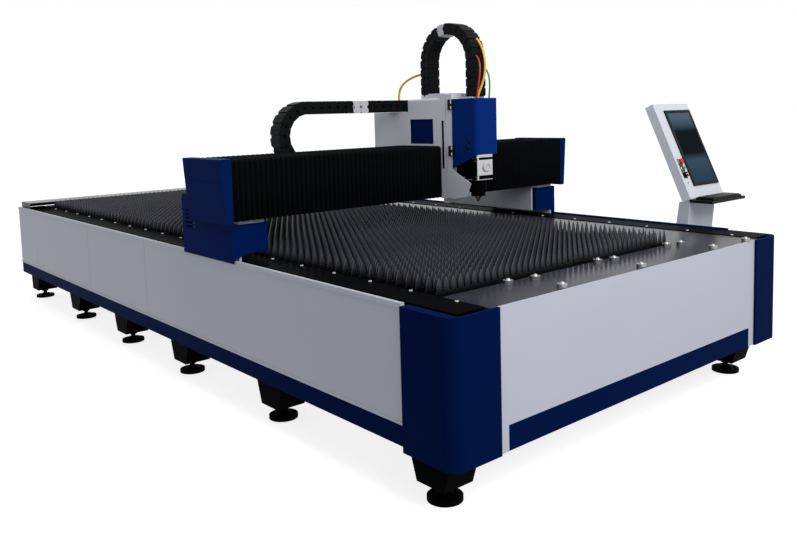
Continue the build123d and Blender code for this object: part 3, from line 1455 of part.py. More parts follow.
# Console cabinet: a leaning slab whose face carries the screen and the controls
face_slope = math.atan2(console_foot_x - console_top_x, console_top_z - console_foot_z)
face_normal = Vector(math.cos(face_slope), 0, math.sin(face_slope))
face_height = math.hypot(console_foot_x - console_top_x, console_top_z - console_foot_z)
face_origin = (console_foot_x, console_near_y, console_foot_z)
face_plane = Plane(face_origin, x_dir=(0, 1, 0), z_dir=face_normal)
control_places = (stop_place, start_place, selector_place)
control_bore = stop_stem_diameter + 2 * running_clearance


def on_face(along, up, height):
    """Return a plane parallel to the console face, at a place on it and a height above it."""
    origin = face_plane.origin + face_plane.x_dir * along + face_plane.y_dir * up + face_plane.z_dir * height
    return Plane(origin, x_dir=face_plane.x_dir, z_dir=face_plane.z_dir)


def face_disc(along, up, z_span, diameter, mode=Mode.ADD):
    """Add or cut a cylinder that stands square to the console face in the part being built."""
    with Locations(on_face(along, up, (z_span[0] + z_span[1]) / 2)):
        Cylinder(diameter / 2, z_span[1] - z_span[0], mode=mode)


def face_block(along, up, size_along, size_up, z_span, mode=Mode.ADD):
    """Add or cut a box that lies square to the console face in the part being built."""
    with Locations(on_face(along, up, (z_span[0] + z_span[1]) / 2)):
        Box(size_along, size_up, z_span[1] - z_span[0], mode=mode)


with BuildPart() as console_cabinet:
    face_block(console_width / 2, face_height / 2, console_width, face_height, (-console_thick, 0))
    for up in control_places:
        face_disc(control_strip_centre, up, (-button_bore_depth, cut_overrun), control_bore, Mode.SUBTRACT)
finish(console_cabinet, "console_cabinet")

with BuildPart() as control_plates:
    for up in control_places:
        plate_z = (0, control_plate_thick)
        face_block(control_strip_centre, up, control_plate_size, control_plate_size, plate_z)
        face_disc(control_strip_centre, up, (-cut_overrun, cut_overrun), control_bore, Mode.SUBTRACT)
    face_disc(control_strip_centre, indicator_place, (0, indicator_height), indicator_diameter)
finish(control_plates, "control_plates")

# Push buttons and the selector, each on a stem in its bore
stem_bottom = -button_bore_depth + button_stem_gap
cap_bottom_z = control_plate_thick + button_travel + slide_clearance
with BuildPart() as stop_button:
    face_disc(control_strip_centre, stop_place, (stem_bottom, cap_bottom_z), stop_stem_diameter)
    stop_z = (cap_bottom_z, cap_bottom_z + stop_head_height)
    face_disc(control_strip_centre, stop_place, stop_z, stop_head_diameter)
    fillet(stop_button.edges().sort_by(Axis(face_plane.origin, face_normal))[-1], stop_head_height / 4)
finish(stop_button, "stop_button")

with BuildPart() as start_button:
    face_disc(control_strip_centre, start_place, (stem_bottom, cap_bottom_z), stop_stem_diameter)
    start_z = (cap_bottom_z, cap_bottom_z + start_cap_height)
    face_disc(control_strip_centre, start_place, start_z, start_cap_diameter)
finish(start_button, "start_button")

with BuildPart() as selector_switch:
    selector_bottom = control_plate_thick + selector_lift
    face_disc(control_strip_centre, selector_place, (stem_bottom, selector_bottom), stop_stem_diameter)
    selector_z = (selector_bottom, selector_bottom + selector_height)
    face_disc(control_strip_centre, selector_place, selector_z, selector_diameter)
    grip_z = (selector_z[1], selector_z[1] + selector_grip_height)
    face_block(control_strip_centre, selector_place, selector_grip_width, selector_diameter, grip_z)
finish(selector_switch, "selector_switch")

# Screen: bezel with a pocket, and its glass
screen_along = console_width - screen_side_margin - screen_width / 2
screen_up = screen_bottom + screen_height / 2
glass_width = screen_width - 2 * screen_bezel
glass_height = screen_height - 2 * screen_bezel
with BuildPart() as screen_bezel_frame:
    face_block(screen_along, screen_up, screen_width, screen_height, (0, screen_proud))
    pocket_z = (screen_proud / 2, screen_proud + cut_overrun)
    face_block(screen_along, screen_up, glass_width, glass_height, pocket_z, Mode.SUBTRACT)
finish(screen_bezel_frame, "screen_bezel")

with BuildPart() as screen_glass:
    glass_z = (screen_proud / 2, screen_proud - screen_glass_drop)
    face_block(screen_along, screen_up, glass_width, glass_height, glass_z)
finish(screen_glass, "screen_glass")

# Stand: base plate and a pedestal that leans up to the underside of the cabinet
under_rear = Vector(console_foot_x, 0, console_foot_z) - face_normal * console_thick
under_slope = (console_foot_z - under_rear.Z) / (console_foot_x - under_rear.X)
pedestal_top_front_z = under_rear.Z + (pedestal_top_front_x - under_rear.X) * under_slope
pedestal_lean = (pedestal_top_front_x - pedestal_front_x) / (pedestal_top_front_z - base_plate_thick)
pedestal_y = (console_near_y + pedestal_inset, console_near_y + pedestal_inset + pedestal_width)
with BuildPart() as console_stand:
    base_x = (base_plate_rear_x, base_plate_front_x)
    base_y = (console_near_y - base_plate_margin, console_near_y + console_width + base_plate_margin)
    block(base_x, base_y, (0, base_plate_thick))
    fillet(console_stand.edges().filter_by(Axis.Z), base_plate_radius)
    pedestal = [
        (pedestal_rear_x, base_plate_thick),
        (pedestal_front_x, base_plate_thick),
        (pedestal_top_front_x, pedestal_top_front_z),
        (under_rear.X, under_rear.Z),
        (pedestal_top_rear_x, under_rear.Z),
    ]
    prism(side_plane(pedestal_y[1]), pedestal, pedestal_width)
finish(console_stand, "console_stand")

# Keyboard shelf with its keys
with BuildPart() as keyboard_shelf:
    shelf_outline = [
        (pedestal_front_x + (shelf_bottom - base_plate_thick) * pedestal_lean, shelf_bottom),
        (shelf_front_x, shelf_bottom),
        (shelf_front_x, shelf_top),
        (pedestal_front_x + (shelf_top - base_plate_thick) * pedestal_lean, shelf_top),
    ]
    prism(side_plane(console_near_y + console_width), shelf_outline, console_width)
    keyboard_x = (shelf_front_x - keyboard_front_gap - keyboard_length, shelf_front_x - keyboard_front_gap)
    keyboard_middle_y = console_near_y + console_width / 2
    keyboard_y = (keyboard_middle_y - keyboard_width / 2, keyboard_middle_y + keyboard_width / 2)
    keyboard_top = shelf_top + keyboard_height
    block(keyboard_x, keyboard_y, (shelf_top, keyboard_top))
    key_pitch_x = (keyboard_length - 2 * keyboard_border) / key_rows
    key_pitch_y = (keyboard_width - 2 * keyboard_border) / key_columns
    with Locations((sum(keyboard_x) / 2, keyboard_middle_y, keyboard_top + key_height / 2)):
        with GridLocations(key_pitch_x, key_pitch_y, key_rows, key_columns):
            Box(key_pitch_x - key_gap, key_pitch_y - key_gap, key_height)
finish(keyboard_shelf, "keyboard_shelf")
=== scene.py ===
"""Looks of a flat-bed laser cutting machine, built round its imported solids."""

import logging
import math
from dataclasses import dataclass, field
from enum import Enum
from typing import Callable, Iterable, Sequence

import bmesh
import bpy
from mathutils import Matrix, Vector


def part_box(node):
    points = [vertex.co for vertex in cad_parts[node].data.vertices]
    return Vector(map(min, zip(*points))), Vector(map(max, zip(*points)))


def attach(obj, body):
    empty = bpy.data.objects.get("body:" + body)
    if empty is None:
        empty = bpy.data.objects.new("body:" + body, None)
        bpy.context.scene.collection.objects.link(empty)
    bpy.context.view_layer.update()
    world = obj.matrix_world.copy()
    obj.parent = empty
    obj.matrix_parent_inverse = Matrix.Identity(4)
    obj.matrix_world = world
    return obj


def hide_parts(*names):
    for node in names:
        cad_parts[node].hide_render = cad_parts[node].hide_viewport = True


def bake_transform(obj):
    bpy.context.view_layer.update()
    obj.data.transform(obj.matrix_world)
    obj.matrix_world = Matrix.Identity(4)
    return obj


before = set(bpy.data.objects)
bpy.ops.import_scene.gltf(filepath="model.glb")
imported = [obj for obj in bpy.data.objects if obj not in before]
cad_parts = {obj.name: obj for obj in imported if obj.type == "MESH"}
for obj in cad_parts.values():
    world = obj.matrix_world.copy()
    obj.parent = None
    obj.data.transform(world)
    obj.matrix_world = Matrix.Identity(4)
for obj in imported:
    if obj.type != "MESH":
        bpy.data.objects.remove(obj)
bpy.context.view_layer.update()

log = logging.getLogger("scene")
MM = 0.001
Point = Sequence[float]
UP = (0, 0, 1)
TO_FRONT = (1, 0, 0)
TO_NEAR_SIDE = (0, -1, 0)
HEXAGON = 6

# Shared measures of the surface effects
BROAD_SCALE = 2.5
GRAIN_STRENGTH = 0.35
DUST_COLOUR = (0.42, 0.41, 0.4)
DUST_LEAN = 0.3
DUST_THINNEST = 0.2
EDGE_RADIUS = 0.003
EDGE_SAMPLES = 4
EDGE_START = 0.15
EDGE_FULL = 0.7


class Surface(Enum):
    """Kinds of surface, each with its own grain."""

    PAINT = "paint"
    METAL = "metal"
    PLASTIC = "plastic"
    CLOTH = "cloth"
    GLASS = "glass"


class Axis(Enum):
    """Axes of the machine's frame, by index."""

    X = 0
    Y = 1
    Z = 2


def new_group(name: str, inputs: dict[str, float], outputs: Iterable[str]) -> bpy.types.NodeTree:
    """Make an empty shader node group with float sockets.

    Args:
        name: The group's name.
        inputs: Input socket names with their default values.
        outputs: Output socket names.

    Returns:
        The node group, with its input and output nodes in place.
    """
    group = bpy.data.node_groups.new(name, "ShaderNodeTree")
    for socket, value in inputs.items():
        item = group.interface.new_socket(socket, in_out="INPUT", socket_type="NodeSocketFloat")
        item.default_value = value
    for socket in outputs:
        group.interface.new_socket(socket, in_out="OUTPUT", socket_type="NodeSocketFloat")
    group.nodes.new("NodeGroupInput").name = "in"
    group.nodes.new("NodeGroupOutput").name = "out"
    return group


def noise_into(group: bpy.types.NodeTree, stretch: Point, detail: float) -> bpy.types.Node:
    """Add a noise texture on object coordinates to a group, scaled by the group's Scale input.

    Args:
        group: The group to add to.
        stretch: How much the pattern is squeezed along each axis.
        detail: Octaves of the noise.

    Returns:
        The noise node.
    """
    links = group.links
    place = group.nodes.new("ShaderNodeTexCoord")
    mapping = group.nodes.new("ShaderNodeMapping")
    mapping.inputs["Scale"].default_value = stretch
    noise = group.nodes.new("ShaderNodeTexNoise")
    noise.inputs["Detail"].default_value = detail
    links.new(place.outputs["Object"], mapping.inputs["Vector"])
    links.new(mapping.outputs["Vector"], noise.inputs["Vector"])
    links.new(group.nodes["in"].outputs["Scale"], noise.inputs["Scale"])
    return noise


def ranged(group: bpy.types.NodeTree, source: bpy.types.NodeSocket, low: float,
           high: float) -> bpy.types.NodeSocket:
    """Map a zero-to-one value to a range.

    Args:
        group: The group that holds the value.
        source: The socket to map.
        low: The value at zero.
        high: The value at one.

    Returns:
        The mapped socket.
    """
    node = group.nodes.new("ShaderNodeMapRange")
    node.inputs["To Min"].default_value = low
    node.inputs["To Max"].default_value = high
    group.links.new(source, node.inputs["Value"])
    return node.outputs["Result"]


def mixed(group: bpy.types.NodeTree, operation: str, first: bpy.types.NodeSocket,
          second: bpy.types.NodeSocket) -> bpy.types.NodeSocket:
    """Join two values with a math node.

    Args:
        group: The group that holds the values.
        operation: The math node's operation.
        first: The first value.
        second: The second value.

    Returns:
        The joined value.
    """
    node = group.nodes.new("ShaderNodeMath")
    node.operation = operation
    group.links.new(first, node.inputs[0])
    group.links.new(second, node.inputs[1])
    return node.outputs["Value"]


def grain_group(name: str, stretch: Point, detail: float, tone: float, shine: float) -> bpy.types.NodeTree:
    """Make a grain: a broad tone, a fine height and a change of roughness.

    Args:
        name: The group's name.
        stretch: How much the fine pattern is squeezed along each axis.
        detail: Octaves of the fine pattern.
        tone: How far the broad tone goes below one.
        shine: How far the roughness goes either side of its base.

    Returns:
        The node group, with Scale and Roughness inputs and Tone, Roughness and Height outputs.
    """
    group = new_group(name, {"Scale": 200.0, "Roughness": 0.4}, ("Tone", "Roughness", "Height"))
    fine = noise_into(group, stretch, detail)
    place = group.nodes.new("ShaderNodeTexCoord")
    broad = group.nodes.new("ShaderNodeTexNoise")
    broad.inputs["Scale"].default_value = BROAD_SCALE
    group.links.new(place.outputs["Object"], broad.inputs["Vector"])
    out = group.nodes["out"]
    both = mixed(group, "MULTIPLY", ranged(group, broad.outputs["Fac"], 1.0 - tone, 1.0 + tone),
                 ranged(group, fine.outputs["Fac"], 1.0 - tone, 1.0 + tone))
    group.links.new(both, out.inputs["Tone"])
    change = ranged(group, broad.outputs["Fac"], -shine, shine)
    rough = mixed(group, "ADD", group.nodes["in"].outputs["Roughness"], change)
    group.links.new(rough, out.inputs["Roughness"])
    group.links.new(fine.outputs["Fac"], out.inputs["Height"])
    return group


def dust_group() -> bpy.types.NodeTree:
    """Make a dust mask that gathers on faces that look up.

    Returns:
        The node group, with Amount and Scale inputs and a Mask output.
    """
    group = new_group("settled_dust", {"Amount": 0.2, "Scale": 30.0}, ("Mask",))
    noise = noise_into(group, (1, 1, 1), 6.0)
    shape = group.nodes.new("ShaderNodeNewGeometry")
    split = group.nodes.new("ShaderNodeSeparateXYZ")
    group.links.new(shape.outputs["Normal"], split.inputs["Vector"])
    upward = group.nodes.new("ShaderNodeMapRange")
    upward.inputs["From Min"].default_value = DUST_LEAN
    group.links.new(split.outputs["Z"], upward.inputs["Value"])
    patches = ranged(group, noise.outputs["Fac"], DUST_THINNEST, 1.0)
    spread = mixed(group, "MULTIPLY", upward.outputs["Result"], patches)
    amount = mixed(group, "MULTIPLY", spread, group.nodes["in"].outputs["Amount"])
    group.links.new(amount, group.nodes["out"].inputs["Mask"])
    return group


def wear_and_highlight_group() -> bpy.types.NodeTree:
    """Make an edge mask from how far a rounded normal leans away from the true one.

    Returns:
        The node group, with Amount and Scale inputs and a Mask output.
    """
    # This mask lays a lighter colour on edges: partly real abrasion of the surface, partly painted highlight.
    group = new_group("edge_wear_and_highlight", {"Amount": 0.3, "Scale": 60.0}, ("Mask",))
    noise = noise_into(group, (1, 1, 1), 5.0)
    shape = group.nodes.new("ShaderNodeNewGeometry")
    rounded = group.nodes.new("ShaderNodeBevel")
    rounded.samples = EDGE_SAMPLES
    rounded.inputs["Radius"].default_value = EDGE_RADIUS
    lean = group.nodes.new("ShaderNodeVectorMath")
    lean.operation = "DISTANCE"
    group.links.new(rounded.outputs["Normal"], lean.inputs[0])
    group.links.new(shape.outputs["Normal"], lean.inputs[1])
    edge = group.nodes.new("ShaderNodeMapRange")
    edge.inputs["From Min"].default_value = EDGE_START
    edge.inputs["From Max"].default_value = EDGE_FULL
    group.links.new(lean.outputs["Value"], edge.inputs["Value"])
    patches = ranged(group, noise.outputs["Fac"], 0.0, 1.0)
    broken = mixed(group, "MULTIPLY", edge.outputs["Result"], patches)
    amount = mixed(group, "MULTIPLY", broken, group.nodes["in"].outputs["Amount"])
    group.links.new(amount, group.nodes["out"].inputs["Mask"])
    return group


def height_ramp_group() -> bpy.types.NodeTree:
    """Make a tone that rises with height.

    Returns:
        The node group, with Low, High and Dark inputs and a Tone output.
    """
    group = new_group("height_ramp", {"Low": 0.0, "High": 1.0, "Dark": 1.0}, ("Tone",))
    place = group.nodes.new("ShaderNodeTexCoord")
    split = group.nodes.new("ShaderNodeSeparateXYZ")
    rise = group.nodes.new("ShaderNodeMapRange")
    rise.interpolation_type = "SMOOTHSTEP"
    group.links.new(place.outputs["Object"], split.inputs["Vector"])
    group.links.new(split.outputs["Z"], rise.inputs["Value"])
    source = group.nodes["in"].outputs
    for socket, name in (("From Min", "Low"), ("From Max", "High"), ("To Min", "Dark")):
        group.links.new(source[name], rise.inputs[socket])
    group.links.new(rise.outputs["Result"], group.nodes["out"].inputs["Tone"])
    return group


GRAINS: dict[Surface, bpy.types.NodeTree] = {
    Surface.PAINT: grain_group("paint_grain", (1, 1, 1), 3.0, 0.03, 0.05),
    Surface.METAL: grain_group("rolled_grain", (0.06, 1, 1), 6.0, 0.12, 0.1),
    Surface.PLASTIC: grain_group("moulded_grain", (1, 1, 1), 2.0, 0.05, 0.06),
    Surface.CLOTH: grain_group("coated_weave", (1, 1, 1), 8.0, 0.15, 0.08),
    Surface.GLASS: grain_group("glass_smears", (1, 0.3, 1), 4.0, 0.04, 0.03),
}
DUST = dust_group()
HEIGHT_RAMP = height_ramp_group()
WEAR_AND_HIGHLIGHT = wear_and_highlight_group()


@dataclass(frozen=True)
class Finish:
    """One finish of the machine and the material it makes.

    Args:
        name: The material's name.
        colour: Linear base colour.
        surface: The kind of surface, which picks the grain.
        roughness: Base roughness.
        metallic: How metallic it is.
        coat: Weight of a clear coat.
        specular: Level of the plain reflection.
        grain: Scale of the fine grain.
        bump: Depth of the fine grain in metres.
        dust: How much dust lies on faces that look up.
        wear_and_highlight: How much the edges take their lighter colour, partly real abrasion and partly
            painted highlight.
        wear_and_highlight_colour: The lighter colour of the edges, partly real abrasion and partly painted
            highlight.
        painted_shade: Heights between which the tone rises to full, and the tone at the lower one; painted
            shade, darker towards a part's foot.
        like: The record's slot, where it isn't the finish's own name.
    """

    name: str
    colour: tuple[float, float, float]
    surface: Surface
    roughness: float = 0.4
    metallic: float = 0.0
    coat: float = 0.0
    specular: float = 0.5
    grain: float = 250.0
    bump: float = 0.0002
    dust: float = 0.12
    wear_and_highlight: float = 0.15
    wear_and_highlight_colour: tuple[float, float, float] = (0.5, 0.5, 0.52)
    painted_shade: tuple[float, float, float] = (0.0, 1.0, 1.0)
    like: str = ""

    @property
    def slot(self) -> str:
        """Return the record's material slot for this finish."""
        return self.like or self.name

    def material(self) -> bpy.types.Material:
        """Return this finish's material, made on first use.

        Returns:
            The material.
        """
        if self in MADE:
            return MADE[self]
        material = bpy.data.materials.new(f"{self.name}_finish")
        MADE[self] = material
        material.use_nodes = True
        nodes, links = material.node_tree.nodes, material.node_tree.links
        shader = nodes["Principled BSDF"]
        shader.inputs["Metallic"].default_value = self.metallic
        shader.inputs["Coat Weight"].default_value = self.coat
        shader.inputs["Specular IOR Level"].default_value = self.specular
        grain = self._group(nodes, GRAINS[self.surface], {"Scale": self.grain, "Roughness": self.roughness})
        dust = self._group(nodes, DUST, {"Amount": self.dust})
        wear_and_highlight = self._group(nodes, WEAR_AND_HIGHLIGHT, {"Amount": self.wear_and_highlight})
        toned = nodes.new("ShaderNodeMix")
        toned.data_type = "RGBA"
        toned.blend_type = "MULTIPLY"
        toned.inputs["Factor"].default_value = 1.0
        toned.inputs["A"].default_value = (*self.colour, 1.0)
        # Painted shade: the tone darkens towards the part's foot, below the given heights.
        low, high, dark = self.painted_shade
        painted_shade = self._group(nodes, HEIGHT_RAMP, {"Low": low, "High": high, "Dark": dark})
        tone = mixed(material.node_tree, "MULTIPLY", grain.outputs["Tone"], painted_shade.outputs["Tone"])
        links.new(tone, toned.inputs["B"])
        # Edges take a lighter colour here: partly real abrasion, partly painted highlight.
        edged = self._layer(nodes, links, toned.outputs["Result"], wear_and_highlight.outputs["Mask"], self.wear_and_highlight_colour)
        dusted = self._layer(nodes, links, edged, dust.outputs["Mask"], DUST_COLOUR)
        links.new(dusted, shader.inputs["Base Color"])
        links.new(grain.outputs["Roughness"], shader.inputs["Roughness"])
        bump = nodes.new("ShaderNodeBump")
        bump.inputs["Strength"].default_value = GRAIN_STRENGTH
        bump.inputs["Distance"].default_value = self.bump
        links.new(grain.outputs["Height"], bump.inputs["Height"])
        links.new(bump.outputs["Normal"], shader.inputs["Normal"])
        return material

    @staticmethod
    def _group(nodes: bpy.types.Nodes, tree: bpy.types.NodeTree, values: dict[str, float]) -> bpy.types.Node:
        """Add a shared group to a material and set its inputs.

        Args:
            nodes: The material's nodes.
            tree: The shared group.
            values: Input socket names with this material's values.

        Returns:
            The group's node.
        """
        node = nodes.new("ShaderNodeGroup")
        node.node_tree = tree
        for socket, value in values.items():
            node.inputs[socket].default_value = value
        return node

    @staticmethod
    def _layer(nodes: bpy.types.Nodes, links: bpy.types.NodeLinks, under: bpy.types.NodeSocket,
               mask: bpy.types.NodeSocket, colour: Point) -> bpy.types.NodeSocket:
        """Lay a colour over another where a mask is high.

        Args:
            nodes: The material's nodes.
            links: The material's links.
            under: The colour below.
            mask: How much of the colour above shows.
            colour: The colour above.

        Returns:
            The joined colour.
        """
        mix = nodes.new("ShaderNodeMix")
        mix.data_type = "RGBA"
        links.new(mask, mix.inputs["Factor"])
        links.new(under, mix.inputs["A"])
        mix.inputs["B"].default_value = (*colour, 1.0)
        return mix.outputs["Result"]


MADE: dict[Finish, bpy.types.Material] = {}
WHITE = Finish("white_paint", (0.47, 0.49, 0.56), Surface.PAINT, 0.4, specular=0.1, wear_and_highlight_colour=(0.62, 0.64, 0.7))
HOUSING = Finish("housing_paint", (0.63, 0.65, 0.71), Surface.PAINT, 0.4, specular=0.3,
                 wear_and_highlight_colour=(0.7, 0.72, 0.76))
GREY = Finish("grey_paint", (0.4, 0.42, 0.46), Surface.PAINT, 0.42, specular=0.3)
NAVY = Finish("navy_paint", (0.0006, 0.0072, 0.05), Surface.PAINT, 0.42, specular=0.004, dust=0.0,
              wear_and_highlight_colour=(0.015, 0.045, 0.15))
BLUE = Finish("blue_paint", (0.0006, 0.011, 0.082), Surface.PAINT, 0.4, specular=0.004, dust=0.004,
              wear_and_highlight_colour=(0.02, 0.07, 0.24))
BRIGHT = Finish("head_blue_paint", (0.002, 0.022, 0.165), Surface.PAINT, 0.36, specular=0.015, dust=0.004,
                wear_and_highlight_colour=(0.04, 0.11, 0.38))
BLACK = Finish("black_paint", (0.002, 0.0022, 0.0028), Surface.PAINT, 0.4, specular=0.003, dust=0.0,
               wear_and_highlight_colour=(0.02, 0.02, 0.024))
STEEL = Finish("bare_steel", (0.36, 0.36, 0.38), Surface.METAL, 0.32, metallic=1.0, grain=120.0, dust=0.02)
DECK = Finish("deck_steel", (0.03, 0.033, 0.043), Surface.METAL, 0.18, metallic=0.14, specular=0.03,
              grain=14.0, dust=0.0)
# Slats darken from the tooth tips down into the valleys and below: painted shade, with the tips left lighter
# as if lit.
SLAT = Finish("slat_steel", (0.085, 0.089, 0.1), Surface.METAL, 0.4, metallic=0.7, grain=60.0, dust=0.0,
              wear_and_highlight=0.2, wear_and_highlight_colour=(0.17, 0.18, 0.2), painted_shade=(0.785, 0.85, 0.04))
SILVER = Finish("silver", (0.55, 0.56, 0.58), Surface.METAL, 0.3, metallic=1.0, grain=150.0, dust=0.02)
COPPER = Finish("copper", (0.75, 0.35, 0.16), Surface.METAL, 0.25, metallic=1.0, grain=200.0, dust=0.0)
# Bellows darken towards their foot and stay lighter at the top: painted shade and painted light.
CLOTH = Finish("bellows_cloth", (0.0035, 0.004, 0.005), Surface.CLOTH, 0.6, specular=0.02, grain=900.0,
               bump=0.0004, dust=0.004, wear_and_highlight=0.05, wear_and_highlight_colour=(0.03, 0.03, 0.03), painted_shade=(1.0, 1.3, 0.6),
               like="black_fabric")
CHAIN = Finish("chain_plastic", (0.004, 0.0045, 0.0055), Surface.PLASTIC, 0.45, specular=0.05, grain=400.0,
               dust=0.01, wear_and_highlight_colour=(0.05, 0.05, 0.055), like="black_plastic")
PLASTIC = Finish("black_plastic", (0.005, 0.005, 0.006), Surface.PLASTIC, 0.4, specular=0.075, grain=500.0,
                 dust=0.02, wear_and_highlight_colour=(0.05, 0.05, 0.05))
RED = Finish("red_plastic", (0.42, 0.006, 0.006), Surface.PLASTIC, 0.3, dust=0.02, wear_and_highlight_colour=(0.7, 0.1, 0.1))
GREEN = Finish("green_plastic", (0.005, 0.22, 0.05), Surface.PLASTIC, 0.3, dust=0.02, wear_and_highlight_colour=(0.1, 0.5, 0.2))
YELLOW = Finish("yellow_plastic", (0.72, 0.45, 0.015), Surface.PLASTIC, 0.35, dust=0.02, wear_and_highlight_colour=(0.9, 0.7, 0.2))
PALE = Finish("pale_plastic", (0.5, 0.51, 0.53), Surface.PLASTIC, 0.4, dust=0.02, wear_and_highlight_colour=(0.6, 0.6, 0.6),
              like="black_plastic")


@dataclass(frozen=True)
class LitScreen(Finish):
    """Dark glass with a soft sheen in bands.

    Args:
        bands: Places from the lower to the upper edge, each with its linear colour.
        span: Heights of the lower and upper edge.
    """

    bands: tuple[tuple[float, tuple[float, float, float]], ...] = ()
    span: tuple[float, float] = (0.0, 1.0)

    def material(self) -> bpy.types.Material:
        """Return the glass, with its bands as a glow.

        Returns:
            The material.
        """
        if self in MADE:
            return MADE[self]
        material = super().material()
        nodes, links = material.node_tree.nodes, material.node_tree.links
        rise = self._group(nodes, HEIGHT_RAMP, {"Low": self.span[0], "High": self.span[1], "Dark": 0.0})
        ramp = nodes.new("ShaderNodeValToRGB")
        elements = ramp.color_ramp.elements
        while len(elements) < len(self.bands):
            elements.new(0.5)
        for element, (place, colour) in zip(elements, self.bands):
            element.position = place
            element.color = (*colour, 1.0)
        shader = nodes["Principled BSDF"]
        shader.inputs["Emission Strength"].default_value = 1.0
        links.new(rise.outputs["Tone"], ramp.inputs["Fac"])
        links.new(ramp.outputs["Color"], shader.inputs["Emission Color"])
        return material


SCREEN_BANDS = (
    (0.0, (0.02, 0.045, 0.075)),
    (0.22, (0.035, 0.065, 0.1)),
    (0.36, (0.0006, 0.003, 0.005)),
    (0.8, (0.0006, 0.003, 0.005)),
    (0.9, (0.035, 0.065, 0.1)),
    (1.0, (0.08, 0.12, 0.17)),
)
GLASS = LitScreen("screen_glass", (0.002, 0.003, 0.004), Surface.GLASS, 0.1, specular=0.006, grain=8.0,
                  bump=0.00002, dust=0.0, wear_and_highlight=0.0, span=(1.0, 1.48), bands=SCREEN_BANDS)

NODE_FINISHES: dict[Finish, tuple[str, ...]] = {
    WHITE: ("near_side_panel", "far_side_panel", "front_panel", "rear_panel", "console_stand"),
    HOUSING: ("upper_housing", "rear_housing", "column", "head_slide", "console_cabinet"),
    GREY: ("near_leg", "far_leg", "gantry_beam"),
    NAVY: ("kick_strips", "corner_covers", "bed_frame", "cross_tubes"),
    BLUE: ("far_edge_trim", "leg_covers", "end_caps", "window_panel"),
    BRIGHT: ("head_side_plate", "head_door"),
    BLACK: ("levelling_feet", "slat_holders", "rail_covers", "cross_motor", "head_bracket",
            "head_lower_body"),
    DECK: ("deck_plates", "rear_end_plate"),
    STEEL: ("ball_transfer_units", "scrap_tray", "bed_rails", "near_pinion", "far_pinion", "cross_pinion",
            "lift_screw"),
    SLAT: ("slats_1", "slats_2", "slats_3", "slats_4"),
    SILVER: ("carriage_plate", "cutting_head"),
    COPPER: ("nozzle",),
    CLOTH: ("near_bellows", "far_bellows"),
    CHAIN: ("cross_chain", "arch_chain"),
    PLASTIC: ("keyboard_shelf", "screen_bezel", "control_plates", "selector_switch"),
    GLASS: ("screen_glass",),
    RED: ("stop_button",),
    GREEN: ("start_button",),
}


